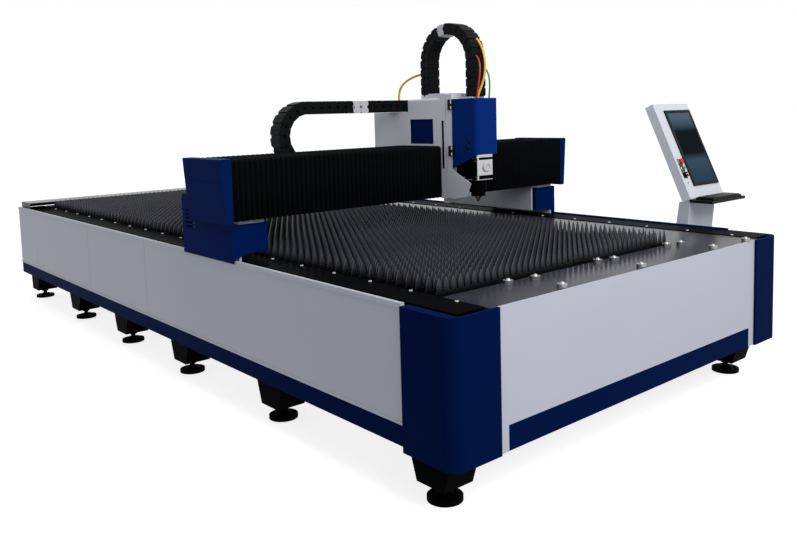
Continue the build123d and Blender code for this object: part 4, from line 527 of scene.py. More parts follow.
@dataclass
class Shape:
    """A mesh that is put together from simple solids, in metres.

    Args:
        name: The object's name.
        finish: Its finish.
        body: The body it rides on.
        mesh: The mesh as it grows.
    """

    name: str
    finish: Finish
    body: str
    mesh: bmesh.types.BMesh = field(default_factory=bmesh.new)

    def box(self, low: Point, high: Point) -> "Shape":
        """Add a box between two corners.

        Args:
            low: The lowest corner.
            high: The highest corner.

        Returns:
            The shape itself.
        """
        outline = [(low[0], low[1]), (high[0], low[1]), (high[0], high[1]), (low[0], high[1])]
        return self.prism(outline, Axis.Z, low[2], high[2])

    def prism(self, outline: Sequence[Point], axis: Axis, low: float, high: float) -> "Shape":
        """Add a prism.

        Args:
            outline: Corners on the two other axes, in axis order.
            axis: The axis it runs along.
            low: Where it starts.
            high: Where it ends.

        Returns:
            The shape itself.
        """
        rings = []
        for end in (low, high):
            ring = []
            for corner in outline:
                place = list(corner)
                place.insert(axis.value, end)
                ring.append(self.mesh.verts.new(place))
            rings.append(ring)
        self._close(rings, caps=True)
        return self

    def loft(self, rings: Sequence[Sequence[Point]], caps: bool = True) -> "Shape":
        """Add a skin through a row of rings with equal counts.

        Args:
            rings: The rings' points.
            caps: Whether the first and last ring are closed.

        Returns:
            The shape itself.
        """
        self._close([[self.mesh.verts.new(point) for point in ring] for ring in rings], caps)
        return self

    def turned(self, centre: Point, axis: Point, profile: Sequence[Point], segments: int = 32) -> "Shape":
        """Add a turned solid.

        Args:
            centre: The start of its axis.
            axis: The direction of its axis.
            profile: Pairs of height along the axis and radius.
            segments: Sides of the turned rings.

        Returns:
            The shape itself.
        """
        turn = Vector(axis).to_track_quat("Z", "Y").to_matrix()
        rings = []
        for height, radius in profile:
            angles = [2 * math.pi * index / segments for index in range(segments)]
            ring = [turn @ Vector((radius * math.cos(a), radius * math.sin(a), height)) for a in angles]
            rings.append([point + Vector(centre) for point in ring])
        return self.loft(rings)

    def _close(self, rings: Sequence[Sequence[bmesh.types.BMVert]], caps: bool) -> None:
        """Join rings with faces, and close both ends where asked.

        Args:
            rings: The rings' vertices, with equal counts.
            caps: Whether the first and last ring are closed.
        """
        count = len(rings[0])
        for first, second in zip(rings, rings[1:]):
            for index in range(count):
                after = (index + 1) % count
                self.mesh.faces.new((first[index], first[after], second[after], second[index]))
        if caps:
            self.mesh.faces.new(list(reversed(rings[0])))
            self.mesh.faces.new(rings[-1])

    def place(self, bevel: float = 0.0, smooth: float = 35.0) -> bpy.types.Object:
        """Turn the mesh into an object.

        Args:
            bevel: Width of a bevel on its edges.
            smooth: Edges flatter than this many degrees are shaded smooth.

        Returns:
            The object.
        """
        bmesh.ops.recalc_face_normals(self.mesh, faces=self.mesh.faces)
        data = bpy.data.meshes.new(self.name)
        self.mesh.to_mesh(data)
        self.mesh.free()
        piece = bpy.data.objects.new(self.name, data)
        bpy.context.scene.collection.objects.link(piece)
        data.materials.append(self.finish.material())
        data.shade_smooth()
        data.set_sharp_from_angle(angle=math.radians(smooth))
        if bevel:
            edges = piece.modifiers.new("edges", "BEVEL")
            edges.width = bevel
            edges.segments = 2
            edges.harden_normals = True
        log.info("%s: %d faces on %s", self.name, len(data.polygons), self.body)
        return piece

    def ride(self, bevel: float = 0.0, smooth: float = 35.0) -> bpy.types.Object:
        """Turn the mesh into an object that rides on its body.

        Args:
            bevel: Width of a bevel on its edges.
            smooth: Edges flatter than this many degrees are shaded smooth.

        Returns:
            The object.
        """
        piece = self.place(bevel, smooth)
        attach(piece, self.body)
        return piece


@dataclass
class Paintwork:
    """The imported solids, each with its finish.

    Args:
        finishes: Node names by finish.
    """

    finishes: dict[Finish, tuple[str, ...]]

    def build(self) -> None:
        """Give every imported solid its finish."""
        for finish, nodes in self.finishes.items():
            for name in nodes:
                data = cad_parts[name].data
                data.materials.clear()
                data.materials.append(finish.material())
                log.info("%s painted %s", name, finish.name)


@dataclass(frozen=True)
class Lamp:
    """A soft square lamp.

    Args:
        name: The lamp's name.
        place: Where it hangs, in metres.
        target: The point it looks at.
        size: Length of its side.
        watts: Its power.
    """

    name: str
    place: tuple[float, float, float]
    target: tuple[float, float, float]
    size: float
    watts: float

    def build(self) -> None:
        """Hang the lamp."""
        data = bpy.data.lights.new(self.name, "AREA")
        data.size = self.size
        data.energy = self.watts
        lamp = bpy.data.objects.new(self.name, data)
        lamp.location = self.place
        aim = Vector(self.target) - Vector(self.place)
        lamp.rotation_euler = aim.to_track_quat("-Z", "Y").to_euler()
        bpy.context.scene.collection.objects.link(lamp)


LAMPS = (
    Lamp("key", (6.5, -0.6, 5.2), (0.6, 0.0, 0.8), 4.0, 345.0),
    Lamp("top", (0.0, 0.0, 6.5), (0.0, 0.0, 0.0), 6.0, 60.0),
    Lamp("side", (-1.0, -7.0, 3.2), (0.0, 0.0, 0.6), 4.5, 10.0),
)


@dataclass
class Studio:
    """Camera, lights, backdrop and floor.

    Args:
        eye: The camera's place in millimetres.
        azimuth: Its turn about the upright axis, in degrees.
        dip: How far it looks down, in degrees.
        roll: Its roll, in degrees.
        lens: Focal length in millimetres on a 36 mm sensor.
        shift: Upward shift of the frame.
        fill: Strength of the light from all round.
        fill_colour: Its colour.
        floor_half: Half the floor's side in metres.
        floor_glow: How much the floor glows of itself.
        lamps: The lamps.
    """

    eye: Point = (4683.0, -3152.0, 1511.0)
    azimuth: float = 49.82
    dip: float = 5.47
    roll: float = -1.58
    lens: float = 35.82
    shift: float = -0.1004
    fill: float = 0.46
    fill_colour: tuple[float, float, float] = (0.95, 0.97, 1.0)
    floor_half: float = 60.0
    floor_glow: float = 0.78
    lamps: tuple[Lamp, ...] = LAMPS

    def build(self) -> None:
        """Set up the view, the light and the floor."""
        self._camera()
        self._world()
        for lamp in self.lamps:
            lamp.build()
        self._floor()

    def _camera(self) -> None:
        """Place the camera."""
        turn, tip, lean = (math.radians(angle) for angle in (self.azimuth, self.dip, self.roll))
        back = Vector((math.sin(turn) * math.cos(tip), -math.cos(turn) * math.cos(tip), math.sin(tip)))
        right = Vector((math.cos(turn), math.sin(turn), 0.0))
        above = back.cross(right)
        across = math.cos(lean) * right + math.sin(lean) * above
        upward = math.cos(lean) * above - math.sin(lean) * right
        data = bpy.data.cameras.new("camera")
        data.lens = self.lens
        data.shift_y = self.shift
        camera = bpy.data.objects.new("camera", data)
        rows = Matrix((across, upward, back)).transposed().to_4x4()
        rows.translation = Vector(self.eye) * MM
        camera.matrix_world = rows
        bpy.context.scene.collection.objects.link(camera)
        bpy.context.scene.camera = camera

    def _world(self) -> None:
        """Make a plain light all round that the camera, metal and glass see as white."""
        world = bpy.data.worlds.new("world")
        bpy.context.scene.world = world
        world.use_nodes = True
        nodes, links = world.node_tree.nodes, world.node_tree.links
        around = nodes["Background"]
        around.inputs["Color"].default_value = (*self.fill_colour, 1.0)
        around.inputs["Strength"].default_value = self.fill
        seen = nodes.new("ShaderNodeBackground")
        seen.inputs["Color"].default_value = (1.0, 1.0, 1.0, 1.0)
        path = nodes.new("ShaderNodeLightPath")
        mix = nodes.new("ShaderNodeMixShader")
        rays = path.outputs
        mirrored = mixed(world.node_tree, "MAXIMUM", rays["Is Glossy Ray"], rays["Is Transmission Ray"])
        links.new(mixed(world.node_tree, "MAXIMUM", rays["Is Camera Ray"], mirrored), mix.inputs["Fac"])
        links.new(around.outputs["Background"], mix.inputs[1])
        links.new(seen.outputs["Background"], mix.inputs[2])
        links.new(mix.outputs["Shader"], nodes["World Output"].inputs["Surface"])

    def _floor(self) -> None:
        """Lay a plain pale floor."""
        half = self.floor_half
        data = bpy.data.meshes.new("floor")
        corners = [(-half, -half, 0), (half, -half, 0), (half, half, 0), (-half, half, 0)]
        data.from_pydata(corners, [], [(0, 1, 2, 3)])
        floor = bpy.data.objects.new("floor", data)
        pale = Finish("pale_floor", (0.5, 0.5, 0.5), Surface.PAINT, 0.9, grain=3.0, bump=0.0, dust=0.0,
                      wear_and_highlight=0.0)
        shader = pale.material().node_tree.nodes["Principled BSDF"]
        shader.inputs["Emission Color"].default_value = (1.0, 1.0, 1.0, 1.0)
        shader.inputs["Emission Strength"].default_value = self.floor_glow
        data.materials.append(pale.material())
        floor.visible_diffuse = False
        floor.visible_glossy = False
        bpy.context.scene.collection.objects.link(floor)


@dataclass
class Cord:
    """One cable or hose.

    Args:
        node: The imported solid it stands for.
        finish: Its finish.
        body: The body it rides on.
        diameter: Its diameter in millimetres.
        route: Route points in millimetres, from where it leaves to where it ends.
        round_steps: Steps round a quarter of its section.
        run_steps: Steps between route points.
    """

    node: str
    finish: Finish
    body: str
    diameter: float
    route: Sequence[Point]
    round_steps: int = 6
    run_steps: int = 24

    def build(self) -> None:
        """Draw the cord as a curve along its route and log its length."""
        data = bpy.data.curves.new(f"{self.node}_line", "CURVE")
        data.dimensions = "3D"
        data.bevel_depth = self.diameter * MM / 2
        data.bevel_resolution = self.round_steps
        data.resolution_u = self.run_steps
        data.use_fill_caps = True
        spline = data.splines.new("NURBS")
        spline.points.add(len(self.route) - 1)
        for point, place in zip(spline.points, self.route):
            point.co = (*(Vector(place) * MM), 1.0)
        spline.order_u = 3
        spline.use_endpoint_u = True
        spline.resolution_u = self.run_steps
        piece = bpy.data.objects.new(f"{self.node}_line", data)
        bpy.context.scene.collection.objects.link(piece)
        data.materials.append(self.finish.material())
        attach(piece, self.body)
        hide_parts(self.node)
        log.info("%s: %.3f m of cord on %s", self.node, spline.calc_length(), self.body)


CORDS = (
    Cord("fibre_cable", YELLOW, "carriage", 14.0, (
        (744, 200, 1598.4), (744, 200, 1645), (768, 205, 1692), (818, 215, 1726), (876, 230, 1747),
        (918, 243, 1757), (957.5, 243, 1757))),
    Cord("fibre_tail", YELLOW, "head", 14.0, (
        (1348, 272, 1966), (1394, 274, 1926), (1430, 272, 1868), (1449, 268, 1800), (1452, 261, 1732),
        (1441, 246, 1666), (1424, 229, 1612), (1418, 222, 1560))),
    Cord("red_hose", RED, "head", 10.0, (
        (1400, 225, 1846), (1440, 216, 1830), (1466, 206, 1786), (1473, 196, 1722), (1466, 188, 1650),
        (1454, 184, 1574), (1446, 180, 1490), (1442, 175, 1400), (1440, 172, 1300))),
    Cord("green_hose", GREEN, "head", 10.0, (
        (1400, 285, 1776), (1436, 287, 1762), (1460, 287, 1722), (1467, 285, 1660), (1462, 282, 1590),
        (1456, 279, 1510), (1453, 276, 1410), (1452, 275, 1300))),
)


def follow(piece: bpy.types.Object) -> None:
    """Bake a mesh's transform into its vertices.

    Args:
        piece: The object.
    """
    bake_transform(piece)


@dataclass
class Bellows:
    """Pleated cloth cover over one arm of the beam.

    Args:
        node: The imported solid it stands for.
        gantry_end_low: Whether the fixed end is the lower one along the beam.
        pitch: Pleat pitch in metres.
        depth: Pleat depth in metres.
        wall: Cloth thickness in metres.
        ridge_share: Half width of a pleat's flat ridge, as a share of the pitch.
        corner: Radius of the folded corner in metres.
        corner_steps: Steps round that corner.
        smooth: Folds flatter than this many degrees are shaded smooth.
    """

    node: str
    gantry_end_low: bool
    pitch: float = 0.03
    depth: float = 0.018
    wall: float = 0.003
    ridge_share: float = 0.05
    corner: float = 0.022
    corner_steps: int = 4
    smooth: float = 20.0

    def build(self) -> None:
        """Build the pleats ring by ring."""
        low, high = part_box(self.node)
        shape = Shape(f"{self.node}_pleats", CLOTH, "gantry")
        count = round((high.y - low.y) / self.pitch)
        pitch = (high.y - low.y) / count
        rings = []
        for index in range(2 * count + 1):
            middle = low.y + index * pitch / 2
            inset = self.depth * (index % 2)
            for offset in (-self.ridge_share, self.ridge_share):
                place = min(max(middle + offset * pitch, low.y), high.y)
                rings.append(self._ring(place, low, high, inset))
        shape.loft(rings)
        piece = shape.place(smooth=self.smooth)
        shares = [(vertex.co.y - low.y) / (high.y - low.y) for vertex in piece.data.vertices]
        if not self.gantry_end_low:
            shares = [1.0 - share for share in shares]
        follow(piece)
        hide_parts(self.node)

    def _ring(self, place: float, low: Vector, high: Vector, inset: float) -> list[Point]:
        """Make one ring of the cloth: up the front, round the corner and back over the top.

        Args:
            place: Where the ring stands along the beam.
            low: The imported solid's lowest corner.
            high: Its highest corner.
            inset: How far the ring is drawn in.

        Returns:
            The ring's points.
        """
        front, top = high.x - inset, high.z - inset
        outer = [(front, low.z)]
        inner = [(front - self.wall, low.z)]
        for step in range(self.corner_steps + 1):
            turn = math.radians(90.0 * step / self.corner_steps)
            across, up = math.cos(turn) - 1.0, math.sin(turn) - 1.0
            outer.append((front + self.corner * across, top + self.corner * up))
            reach = self.corner - self.wall
            inner.append((front - self.wall + reach * across, top - self.wall + reach * up))
        outer.append((low.x, top))
        inner.append((low.x, top - self.wall))
        return [(x, place, z) for x, z in outer + inner[::-1]]


@dataclass
class Chain:
    """A drag chain of separate links: two straight runs and a half turn.

    Args:
        node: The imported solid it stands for.
        bodies: The body at its fixed end and the one at its moving end.
        origin: Its start on the middle line, in millimetres.
        along: Direction of the first run.
        across: Direction from the first run to the second.
        first_run: Length of the first run.
        second_run: Length of the second run.
        radius: Bend radius.
        thick: Height of a link.
        width: Width of a link.
        pitch: Link pitch.
        pale_links: Indices of the pale links.
        plate: Thickness of a side plate, as a share of the width.
        bar: Thickness of a bar, as a share of the height.
        core: Size of the band inside, as a share of a link's.
        core_step: Length of one step of that band.
        boss: Radius of a pin boss at its foot and at its top, as shares of the height.
        boss_sides: Sides of a pin boss.
        bars: Where the bars start and end, as shares of the pitch.
        plate_reach: Half length of a side plate, as a share of the pitch.
        nose: Half height of a side plate's end, as a share of half its height.
        edge: Width of the links' bevels in metres.
    """

    node: str
    bodies: tuple[str, str]
    origin: Point
    along: Point
    across: Point
    first_run: float
    second_run: float
    radius: float
    thick: float
    width: float
    pitch: float
    pale_links: tuple[int, ...] = ()
    plate: float = 0.09
    bar: float = 0.09
    core: float = 0.88
    core_step: float = 15.0
    boss: tuple[float, float] = (0.18, 0.16)
    boss_sides: int = 16
    bars: tuple[tuple[float, float], ...] = ((-0.45, -0.02), (0.02, 0.45))
    plate_reach: float = 0.49
    nose: float = 0.78
    edge: float = 0.0015

    def build(self) -> None:
        """Build every link, dark and pale ones apart."""
        total = self.first_run + math.pi * self.radius + self.second_run
        count = round(total / self.pitch)
        for tone, finish in (("links", CHAIN), ("pale_links", PALE)):
            chosen = [i for i in range(count) if (i in self.pale_links) == (finish is PALE)]
            if not chosen:
                continue
            shape = Shape(f"{self.node}_{tone}", finish, self.bodies[0])
            shares = self._core(shape, total) if finish is CHAIN else []
            for index in chosen:
                distance = (index + 0.5) * total / count
                self._link(shape, distance, total / count)
                shares += [self._share(distance)] * (len(shape.mesh.verts) - len(shares))
            piece = shape.place(bevel=self.edge)
            follow(piece)
            if finish is CHAIN:
                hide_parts(self.node)

    def _share(self, distance: float) -> float:
        """Work out how far a place along the chain follows its moving end.

        Args:
            distance: The place, from the fixed end.

        Returns:
            Zero at the fixed end, one at the moving end.
        """
        bend = math.pi * self.radius
        if distance < self.first_run:
            return 0.5 * distance / self.first_run
        if distance < self.first_run + bend:
            return 0.5
        return 0.5 + 0.5 * (distance - self.first_run - bend) / self.second_run

    def _place(self, distance: float) -> Callable[[float, float, float], Vector]:
        """Make a map from distances at a place on the chain to the machine's frame.

        Args:
            distance: The place, from the fixed end.

        Returns:
            A function of the distances along, out and sideways that gives a point in metres.
        """
        bend = math.pi * self.radius
        if distance < self.first_run:
            place, turn = (distance, -self.radius), 0.0
        elif distance < self.first_run + bend:
            turn = (distance - self.first_run) / self.radius
            place = (self.first_run + self.radius * math.sin(turn), -self.radius * math.cos(turn))
        else:
            place, turn = (self.first_run - (distance - self.first_run - bend), self.radius), math.pi
        along, across = Vector(self.along), Vector(self.across)
        centre = Vector(self.origin) + along * place[0] + across * place[1]
        run = along * math.cos(turn) + across * math.sin(turn)
        rise = across * math.cos(turn) - along * math.sin(turn)
        side = run.cross(rise)
        return lambda u, v, w: (centre + run * u + rise * v + side * w) * MM

    def _core(self, shape: Shape, total: float) -> list[float]:
        """Add the smooth band inside the links.

        Args:
            shape: The shape to add to.
            total: The chain's length.

        Returns:
            How far each of the band's vertices follows the moving end.
        """
        tall, wide = self.core * self.thick / 2, self.core * self.width / 2
        corners = [(-tall, -wide), (tall, -wide), (tall, wide), (-tall, wide)]
        steps = round(total / self.core_step)
        rings, shares = [], []
        for index in range(steps + 1):
            distance = total * index / steps
            at = self._place(distance)
            rings.append([at(0.0, v, w) for v, w in corners])
            shares += [self._share(distance)] * len(corners)
        shape.loft(rings)
        return shares

    def _link(self, shape: Shape, distance: float, pitch: float) -> None:
        """Add one link: two side plates, their pin bosses, and bars over and under.

        Args:
            shape: The shape to add to.
            distance: The link's middle, from the fixed end.
            pitch: The link's length.
        """
        at = self._place(distance)
        side = (at(0.0, 0.0, 1.0) - at(0.0, 0.0, 0.0)).normalized()
        half, plate = self.width / 2, self.plate * self.width
        for direction in (-1, 1):
            faces = sorted((direction * half, direction * (half - plate)))
            outline = self._plate_outline(pitch)
            shape.loft([[at(u, v, w) for u, v in outline] for w in faces])
            hub = at(-pitch * 0.5, 0.0, direction * (half - plate))
            foot, top = (share * self.thick * MM for share in self.boss)
            shape.turned(hub, direction * side, [(0.0, foot), (plate * MM, top)], self.boss_sides)
        inner = half - plate
        for direction in (-1, 1):
            faces = sorted((direction * self.thick * 0.5, direction * self.thick * (0.5 - self.bar)))
            for start, end in self.bars:
                low, high = start * pitch, end * pitch
                corners = [(low, -inner), (high, -inner), (high, inner), (low, inner)]
                shape.loft([[at(u, v, w) for u, w in corners] for v in faces])

    def _plate_outline(self, pitch: float) -> list[Point]:
        """Make a side plate's outline, with its corners cut.

        Args:
            pitch: The link's length.

        Returns:
            The outline's points, along and out.
        """
        half, long = self.thick / 2, pitch * self.plate_reach
        nose = half * self.nose
        cut = half - nose
        return [(-long, -nose), (-long + cut, -half), (long - cut, -half), (long, -nose),
                (long, nose), (long - cut, half), (-long + cut, half), (-long, nose)]


def chains() -> tuple[Chain, Chain]:
    """Return the two chains with their runs.

    Returns:
        The chain along the beam and the arch to the head.
    """
    cross = Chain("cross_chain", ("gantry", "carriage"), origin=(768.0, 0.0, 1398.0), along=(0, -1, 0),
                  across=(0, 0, 1), first_run=560.0, second_run=800.0, radius=162.5, thick=75.0, width=100.0,
                  pitch=58.0, pale_links=(24, 25, 32))
    arch = Chain("arch_chain", ("carriage", "head"), origin=(1189.0, 250.0, 1623.3), along=(0, 0, 1),
                 across=(1, 0, 0), first_run=190.7, second_run=212.0, radius=197.5, thick=67.0, width=100.0,
                 pitch=54.0, pale_links=(8,))
    return cross, arch


@dataclass
class Slats:
    """Cutting slats with rounded teeth, for one packed section.

    Args:
        node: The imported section.
        pitch: Slat pitch in metres.
        thick: Slat thickness in metres.
        teeth: Teeth on a slat.
        valley: Height of the valleys in metres.
        base_share: Width of a tooth at its base, as a share of the tooth pitch.
        swell: Power of the tooth's rounded sides.
        steps: Points up each side of a tooth.
    """

    node: str
    pitch: float = 0.0624
    thick: float = 0.004
    teeth: int = 42
    valley: float = 0.797
    base_share: float = 0.74
    swell: float = 2.0
    steps: int = 5

    def build(self) -> None:
        """Build every slat of the section."""
        low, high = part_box(self.node)
        outline = self._outline(low, high)
        shape = Shape(f"{self.node}_teeth", SLAT, "bed")
        count = round((high.x - low.x - self.thick) / self.pitch) + 1
        for index in range(count):
            rear = low.x + index * (high.x - low.x - self.thick) / (count - 1)
            shape.prism(outline, Axis.X, rear, rear + self.thick)
        piece = shape.ride()
        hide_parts(self.node)

    def _outline(self, low: Vector, high: Vector) -> list[Point]:
        """Make a slat's outline across the bed.

        Args:
            low: The section's lowest corner.
            high: Its highest corner.

        Returns:
            The outline's points, across the bed and up.
        """
        step = (high.y - low.y) / self.teeth
        half = self.base_share * step / 2
        rise = high.z - self.valley
        points = [(low.y, low.z), (low.y, self.valley)]
        for tooth in range(self.teeth):
            middle = low.y + (tooth + 0.5) * step
            shares = [index / self.steps for index in range(self.steps)]
            left = [(middle - half * (1.0 - t ** self.swell), self.valley + rise * t) for t in shares]
            right = [(2 * middle - y, z) for y, z in reversed(left)]
            points += left + [(middle, high.z)] + right
        return points + [(high.y, self.valley), (high.y, low.z)]


@dataclass
class CoverScrews:
    """Pale screw heads along the rail covers.

    Args:
        count: Screws on each cover.
        cover_edge: Place of a cover's inner edge across the bed, in metres.
        inset: Distance of the row from that edge.
        sunk: Depth of the heads' seats below the covers' highest point.
        head_radius: Radius of a head.
        head_height: Height of a head.
        head_profile: Heights and radii up a head, as shares.
        head_sides: Sides of a head.
        socket_radius: Radius of the hexagon in a head.
        socket_span: Where the hexagon starts and ends, from the head's top.
    """

    count: int = 20
    cover_edge: float = 1.055
    inset: float = 0.014
    sunk: float = 0.004
    head_radius: float = 0.0078
    head_height: float = 0.0052
    head_profile: tuple[tuple[float, float], ...] = ((0.0, 1.0), (0.6, 1.0), (0.9, 0.86), (1.0, 0.6))
    head_sides: int = 20
    socket_radius: float = 0.0036
    socket_span: tuple[float, float] = (-0.001, 0.0003)

    def build(self) -> None:
        """Build the heads and their sockets."""
        low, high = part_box("rail_covers")
        top = high.z - self.sunk
        heads = Shape("cover_screw_heads", PALE, "bed")
        sockets = Shape("cover_screw_sockets", BLACK, "bed")
        pitch = (high.x - low.x) / self.count
        profile = [(up * self.head_height, out * self.head_radius) for up, out in self.head_profile]
        hexagon = [(height, self.socket_radius) for height in self.socket_span]
        for side in (-1, 1):
            for index in range(self.count):
                along, across = low.x + (index + 0.5) * pitch, side * (self.cover_edge + self.inset)
                heads.turned((along, across, top), UP, profile, self.head_sides)
                sockets.turned((along, across, top + self.head_height), UP, hexagon, HEXAGON)
        heads.ride()
        sockets.ride()


@dataclass
class HeadDress:
    """Hinges, a black strip painted as shade in the column's slot, and the plates and ports on the cutting
    head, in metres.

    Args:
        hinge: The door's hinge axis, along and across the bed.
        hinge_heights: Lower ends of the two hinges.
        hinge_length: Length of a hinge.
        pin: Distance of a leaf from the hinge axis.
        leaf: Width of a hinge leaf.
        leaf_faces: Near and far face of a leaf, from the hinge axis.
        leaf_over: How far a leaf reaches past its hinge.
        leaf_screws: Heights of a leaf's screws, as shares of the hinge.
        leaf_screw: Heights and radii up a leaf's screw.
        strip: Rear and front edge of the black strip painted as the slot's shade, from the column's front.
        strip_faces: Near and far face of the strip, from the column's near side.
        strip_heights: Lower and upper end of the strip.
        sheet: Thickness of the thin plates.
        face: Place of the cutting head's front face.
        plate_rear: Gap behind the dark side plate.
        plate_front: Place of that plate's front edge.
        plate_top: Its upper edge.
        plate_foot: Gap below the dark plates.
        band_inset: Gap at either end of the bands on the face.
        band_height: Height of the lower band.
        band_heights: Lower and upper edge of the upper band.
        port: Place of the lens port across the bed and up.
        port_profile: Heights and radii out of the face, round the port.
        screws_along: Places of the plate's screws along the bed.
        screw_insets: Gaps of those screws from the plate's lower and upper edge.
        screw: Heights and radii up a plate's screw.
        fine_edge: Width of the bevels on thin pieces.
        strip_edge: Width of the bevels on the strip.
        sides: Sides of the screws.
        port_sides: Sides of the port.
    """

    hinge: tuple[float, float] = (1.293, 0.1325)
    hinge_heights: tuple[float, float] = (1.258, 1.532)
    hinge_length: float = 0.05
    pin: float = 0.0055
    leaf: float = 0.022
    leaf_faces: tuple[float, float] = (-0.0015, 0.0035)
    leaf_over: float = 0.006
    leaf_screws: tuple[float, float] = (0.25, 0.75)
    leaf_screw: tuple[tuple[float, float], ...] = ((0.0, 0.0045), (0.0018, 0.0042), (0.0022, 0.003))
    strip: tuple[float, float] = (-0.031, -0.015)
    strip_faces: tuple[float, float] = (-0.0012, 0.001)
    strip_heights: tuple[float, float] = (1.178, 1.464)
    sheet: float = 0.003
    face: float = 1.48
    plate_rear: float = 0.004
    plate_front: float = 1.476
    plate_top: float = 1.24
    plate_foot: float = 0.004
    band_inset: float = 0.01
    band_height: float = 0.022
    band_heights: tuple[float, float] = (1.232, 1.246)
    port: tuple[float, float] = (0.232, 1.188)
    port_profile: tuple[tuple[float, float], ...] = (
        (0.0, 0.03), (0.006, 0.03), (0.008, 0.027), (0.008, 0.02), (0.004, 0.018))
    screws_along: tuple[float, float] = (1.372, 1.466)
    screw_insets: tuple[float, float] = (0.012, 0.014)
    screw: tuple[tuple[float, float], ...] = ((0.0, 0.005), (0.003, 0.0045))
    fine_edge: float = 0.0008
    strip_edge: float = 0.0005
    sides: int = 16
    port_sides: int = 40

    def build(self) -> None:
        """Build the dressing of the head."""
        self._hinges()
        self._slot_painted_shade()
        self._head_plates()

    def _hinges(self) -> None:
        """Add black leaves over the hinges, one on the slide and one on the door."""
        x, y = self.hinge
        near, far = (y + face for face in self.leaf_faces)
        spans = {
            "head": (x - self.pin - self.leaf, x - self.pin),
            "door": (x + self.pin, x + self.pin + self.leaf),
        }
        for body, (first, last) in spans.items():
            leaves = Shape(f"{body}_hinge_leaves", PLASTIC, body)
            for bottom in self.hinge_heights:
                top = bottom + self.hinge_length
                leaves.box((first, near, bottom - self.leaf_over), (last, far, top + self.leaf_over))
                for share in self.leaf_screws:
                    place = ((first + last) / 2, near, bottom + share * self.hinge_length)
                    leaves.turned(place, TO_NEAR_SIDE, self.leaf_screw, self.sides)
            leaves.ride(bevel=self.fine_edge)

    def _slot_painted_shade(self) -> None:
        """Add a black strip over the column's slot: painted shade that stands in for the slot's dark inside.
        """
        low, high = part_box("column")
        rear, front = (high.x + edge for edge in self.strip)
        near, far = (low.y + face for face in self.strip_faces)
        bottom, top = self.strip_heights
        # Black strip over the slot: painted shade of the slot's inside.
        strip = Shape("column_slot_painted_shade", BLACK, "carriage")
        strip.box((rear, near, bottom), (front, far, top))
        strip.ride(bevel=self.strip_edge)

    def _head_plates(self) -> None:
        """Add the side plate, bands, port and screws of the cutting head."""
        low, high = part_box("cutting_head")
        bottom = low.z + self.plate_foot
        near = low.y - self.sheet
        dark = Shape("head_dark_plates", BLACK, "head")
        dark.box((low.x + self.plate_rear, near, bottom), (self.plate_front, low.y, self.plate_top))
        for start, end in ((bottom, bottom + self.band_height), self.band_heights):
            dark.box((self.face, low.y + self.band_inset, start),
                     (self.face + self.sheet, high.y - self.band_inset, end))
        dark.ride(bevel=self.fine_edge)
        port = Shape("head_lens_port", PALE, "head")
        port.turned((self.face, *self.port), TO_FRONT, self.port_profile, self.port_sides)
        port.ride()
        screws = Shape("head_plate_screws", SILVER, "head")
        lower, upper = self.screw_insets
        for along in self.screws_along:
            for height in (bottom + lower, self.plate_top - upper):
                screws.turned((along, near, height), TO_NEAR_SIDE, self.screw, self.sides)
        screws.ride()


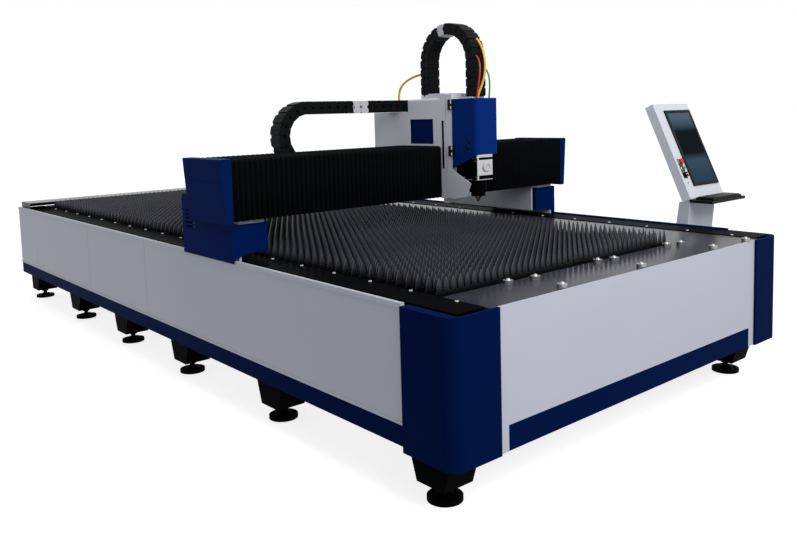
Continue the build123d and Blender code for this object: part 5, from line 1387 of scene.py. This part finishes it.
@dataclass
class ConsoleDress:
    """Collars and grips on the console's controls, in metres.

    Args:
        foot: A point on the face's lower edge, along the bed and up.
        slope: Lean of the face, from its lower to its upper edge.
        across: Place of the control strip across the face.
        stop: Place of the stop button up the face, and the inner and outer radius of its collar.
        start: The same for the start button.
        collar_heights: Heights of a collar's foot, inner lip, ridge and outer lip above the face.
        collar_sides: Sides of a collar.
        grip_rise: Height of the grip above the switch's middle.
        grip: Heights and radii up the grip.
        grip_sides: Sides of the grip.
    """

    foot: tuple[float, float] = (1.994, 0.909)
    slope: tuple[float, float] = (-0.280, 0.619)
    across: float = 1.646
    stop: tuple[float, float, float] = (0.258, 0.0196, 0.0216)
    start: tuple[float, float, float] = (0.212, 0.0145, 0.018)
    collar_heights: tuple[float, float, float, float] = (0.002, 0.0055, 0.0065, 0.0045)
    collar_sides: int = 32
    grip_rise: float = 0.013
    grip: tuple[tuple[float, float], ...] = ((0.0, 0.006), (0.007, 0.0058), (0.009, 0.004))
    grip_sides: int = 20

    def build(self) -> None:
        """Build the collars round the buttons and the pale grip on the switch."""
        self._collar("stop_collar", PALE, *self.stop)
        self._collar("start_collar", SILVER, *self.start)
        grip = Shape("selector_grip", PALE, "selector")
        low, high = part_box("selector_switch")
        normal = self._normal()
        grip.turned((low + high) / 2 + normal * self.grip_rise, normal, self.grip, self.grip_sides)
        grip.ride()

    def _lean(self) -> Vector:
        """Return the direction up the face."""
        return Vector((self.slope[0], 0.0, self.slope[1])).normalized()

    def _normal(self) -> Vector:
        """Return the direction out of the face."""
        lean = self._lean()
        return Vector((lean.z, 0.0, -lean.x))

    def _collar(self, name: str, finish: Finish, place: float, inner: float, outer: float) -> None:
        """Add a ring round a button.

        Args:
            name: The ring's name.
            finish: Its finish.
            place: Its place up the face.
            inner: Its inner radius.
            outer: Its outer radius.
        """
        centre = Vector((self.foot[0], self.across, self.foot[1])) + self._lean() * place
        ring = Shape(name, finish, "bed")
        foot, lip, ridge, rim = self.collar_heights
        profile = [(foot, inner), (lip, inner), (ridge, (inner + outer) / 2), (rim, outer), (foot, outer)]
        ring.turned(centre, self._normal(), profile, self.collar_sides)
        ring.ride()


def main() -> None:
    """Build the scene piece by piece."""
    logging.basicConfig(level=logging.INFO, format="%(name)s %(message)s")
    bpy.context.scene.view_settings.view_transform = "Standard"
    Studio().build()
    Paintwork(NODE_FINISHES).build()
    for cord in CORDS:
        cord.build()
    Bellows("near_bellows", gantry_end_low=True).build()
    Bellows("far_bellows", gantry_end_low=False).build()
    for chain in chains():
        chain.build()
    for section in ("slats_1", "slats_2", "slats_3", "slats_4"):
        Slats(section).build()
    CoverScrews().build()
    HeadDress().build()
    ConsoleDress().build()


if __name__ == "__main__":
    main()
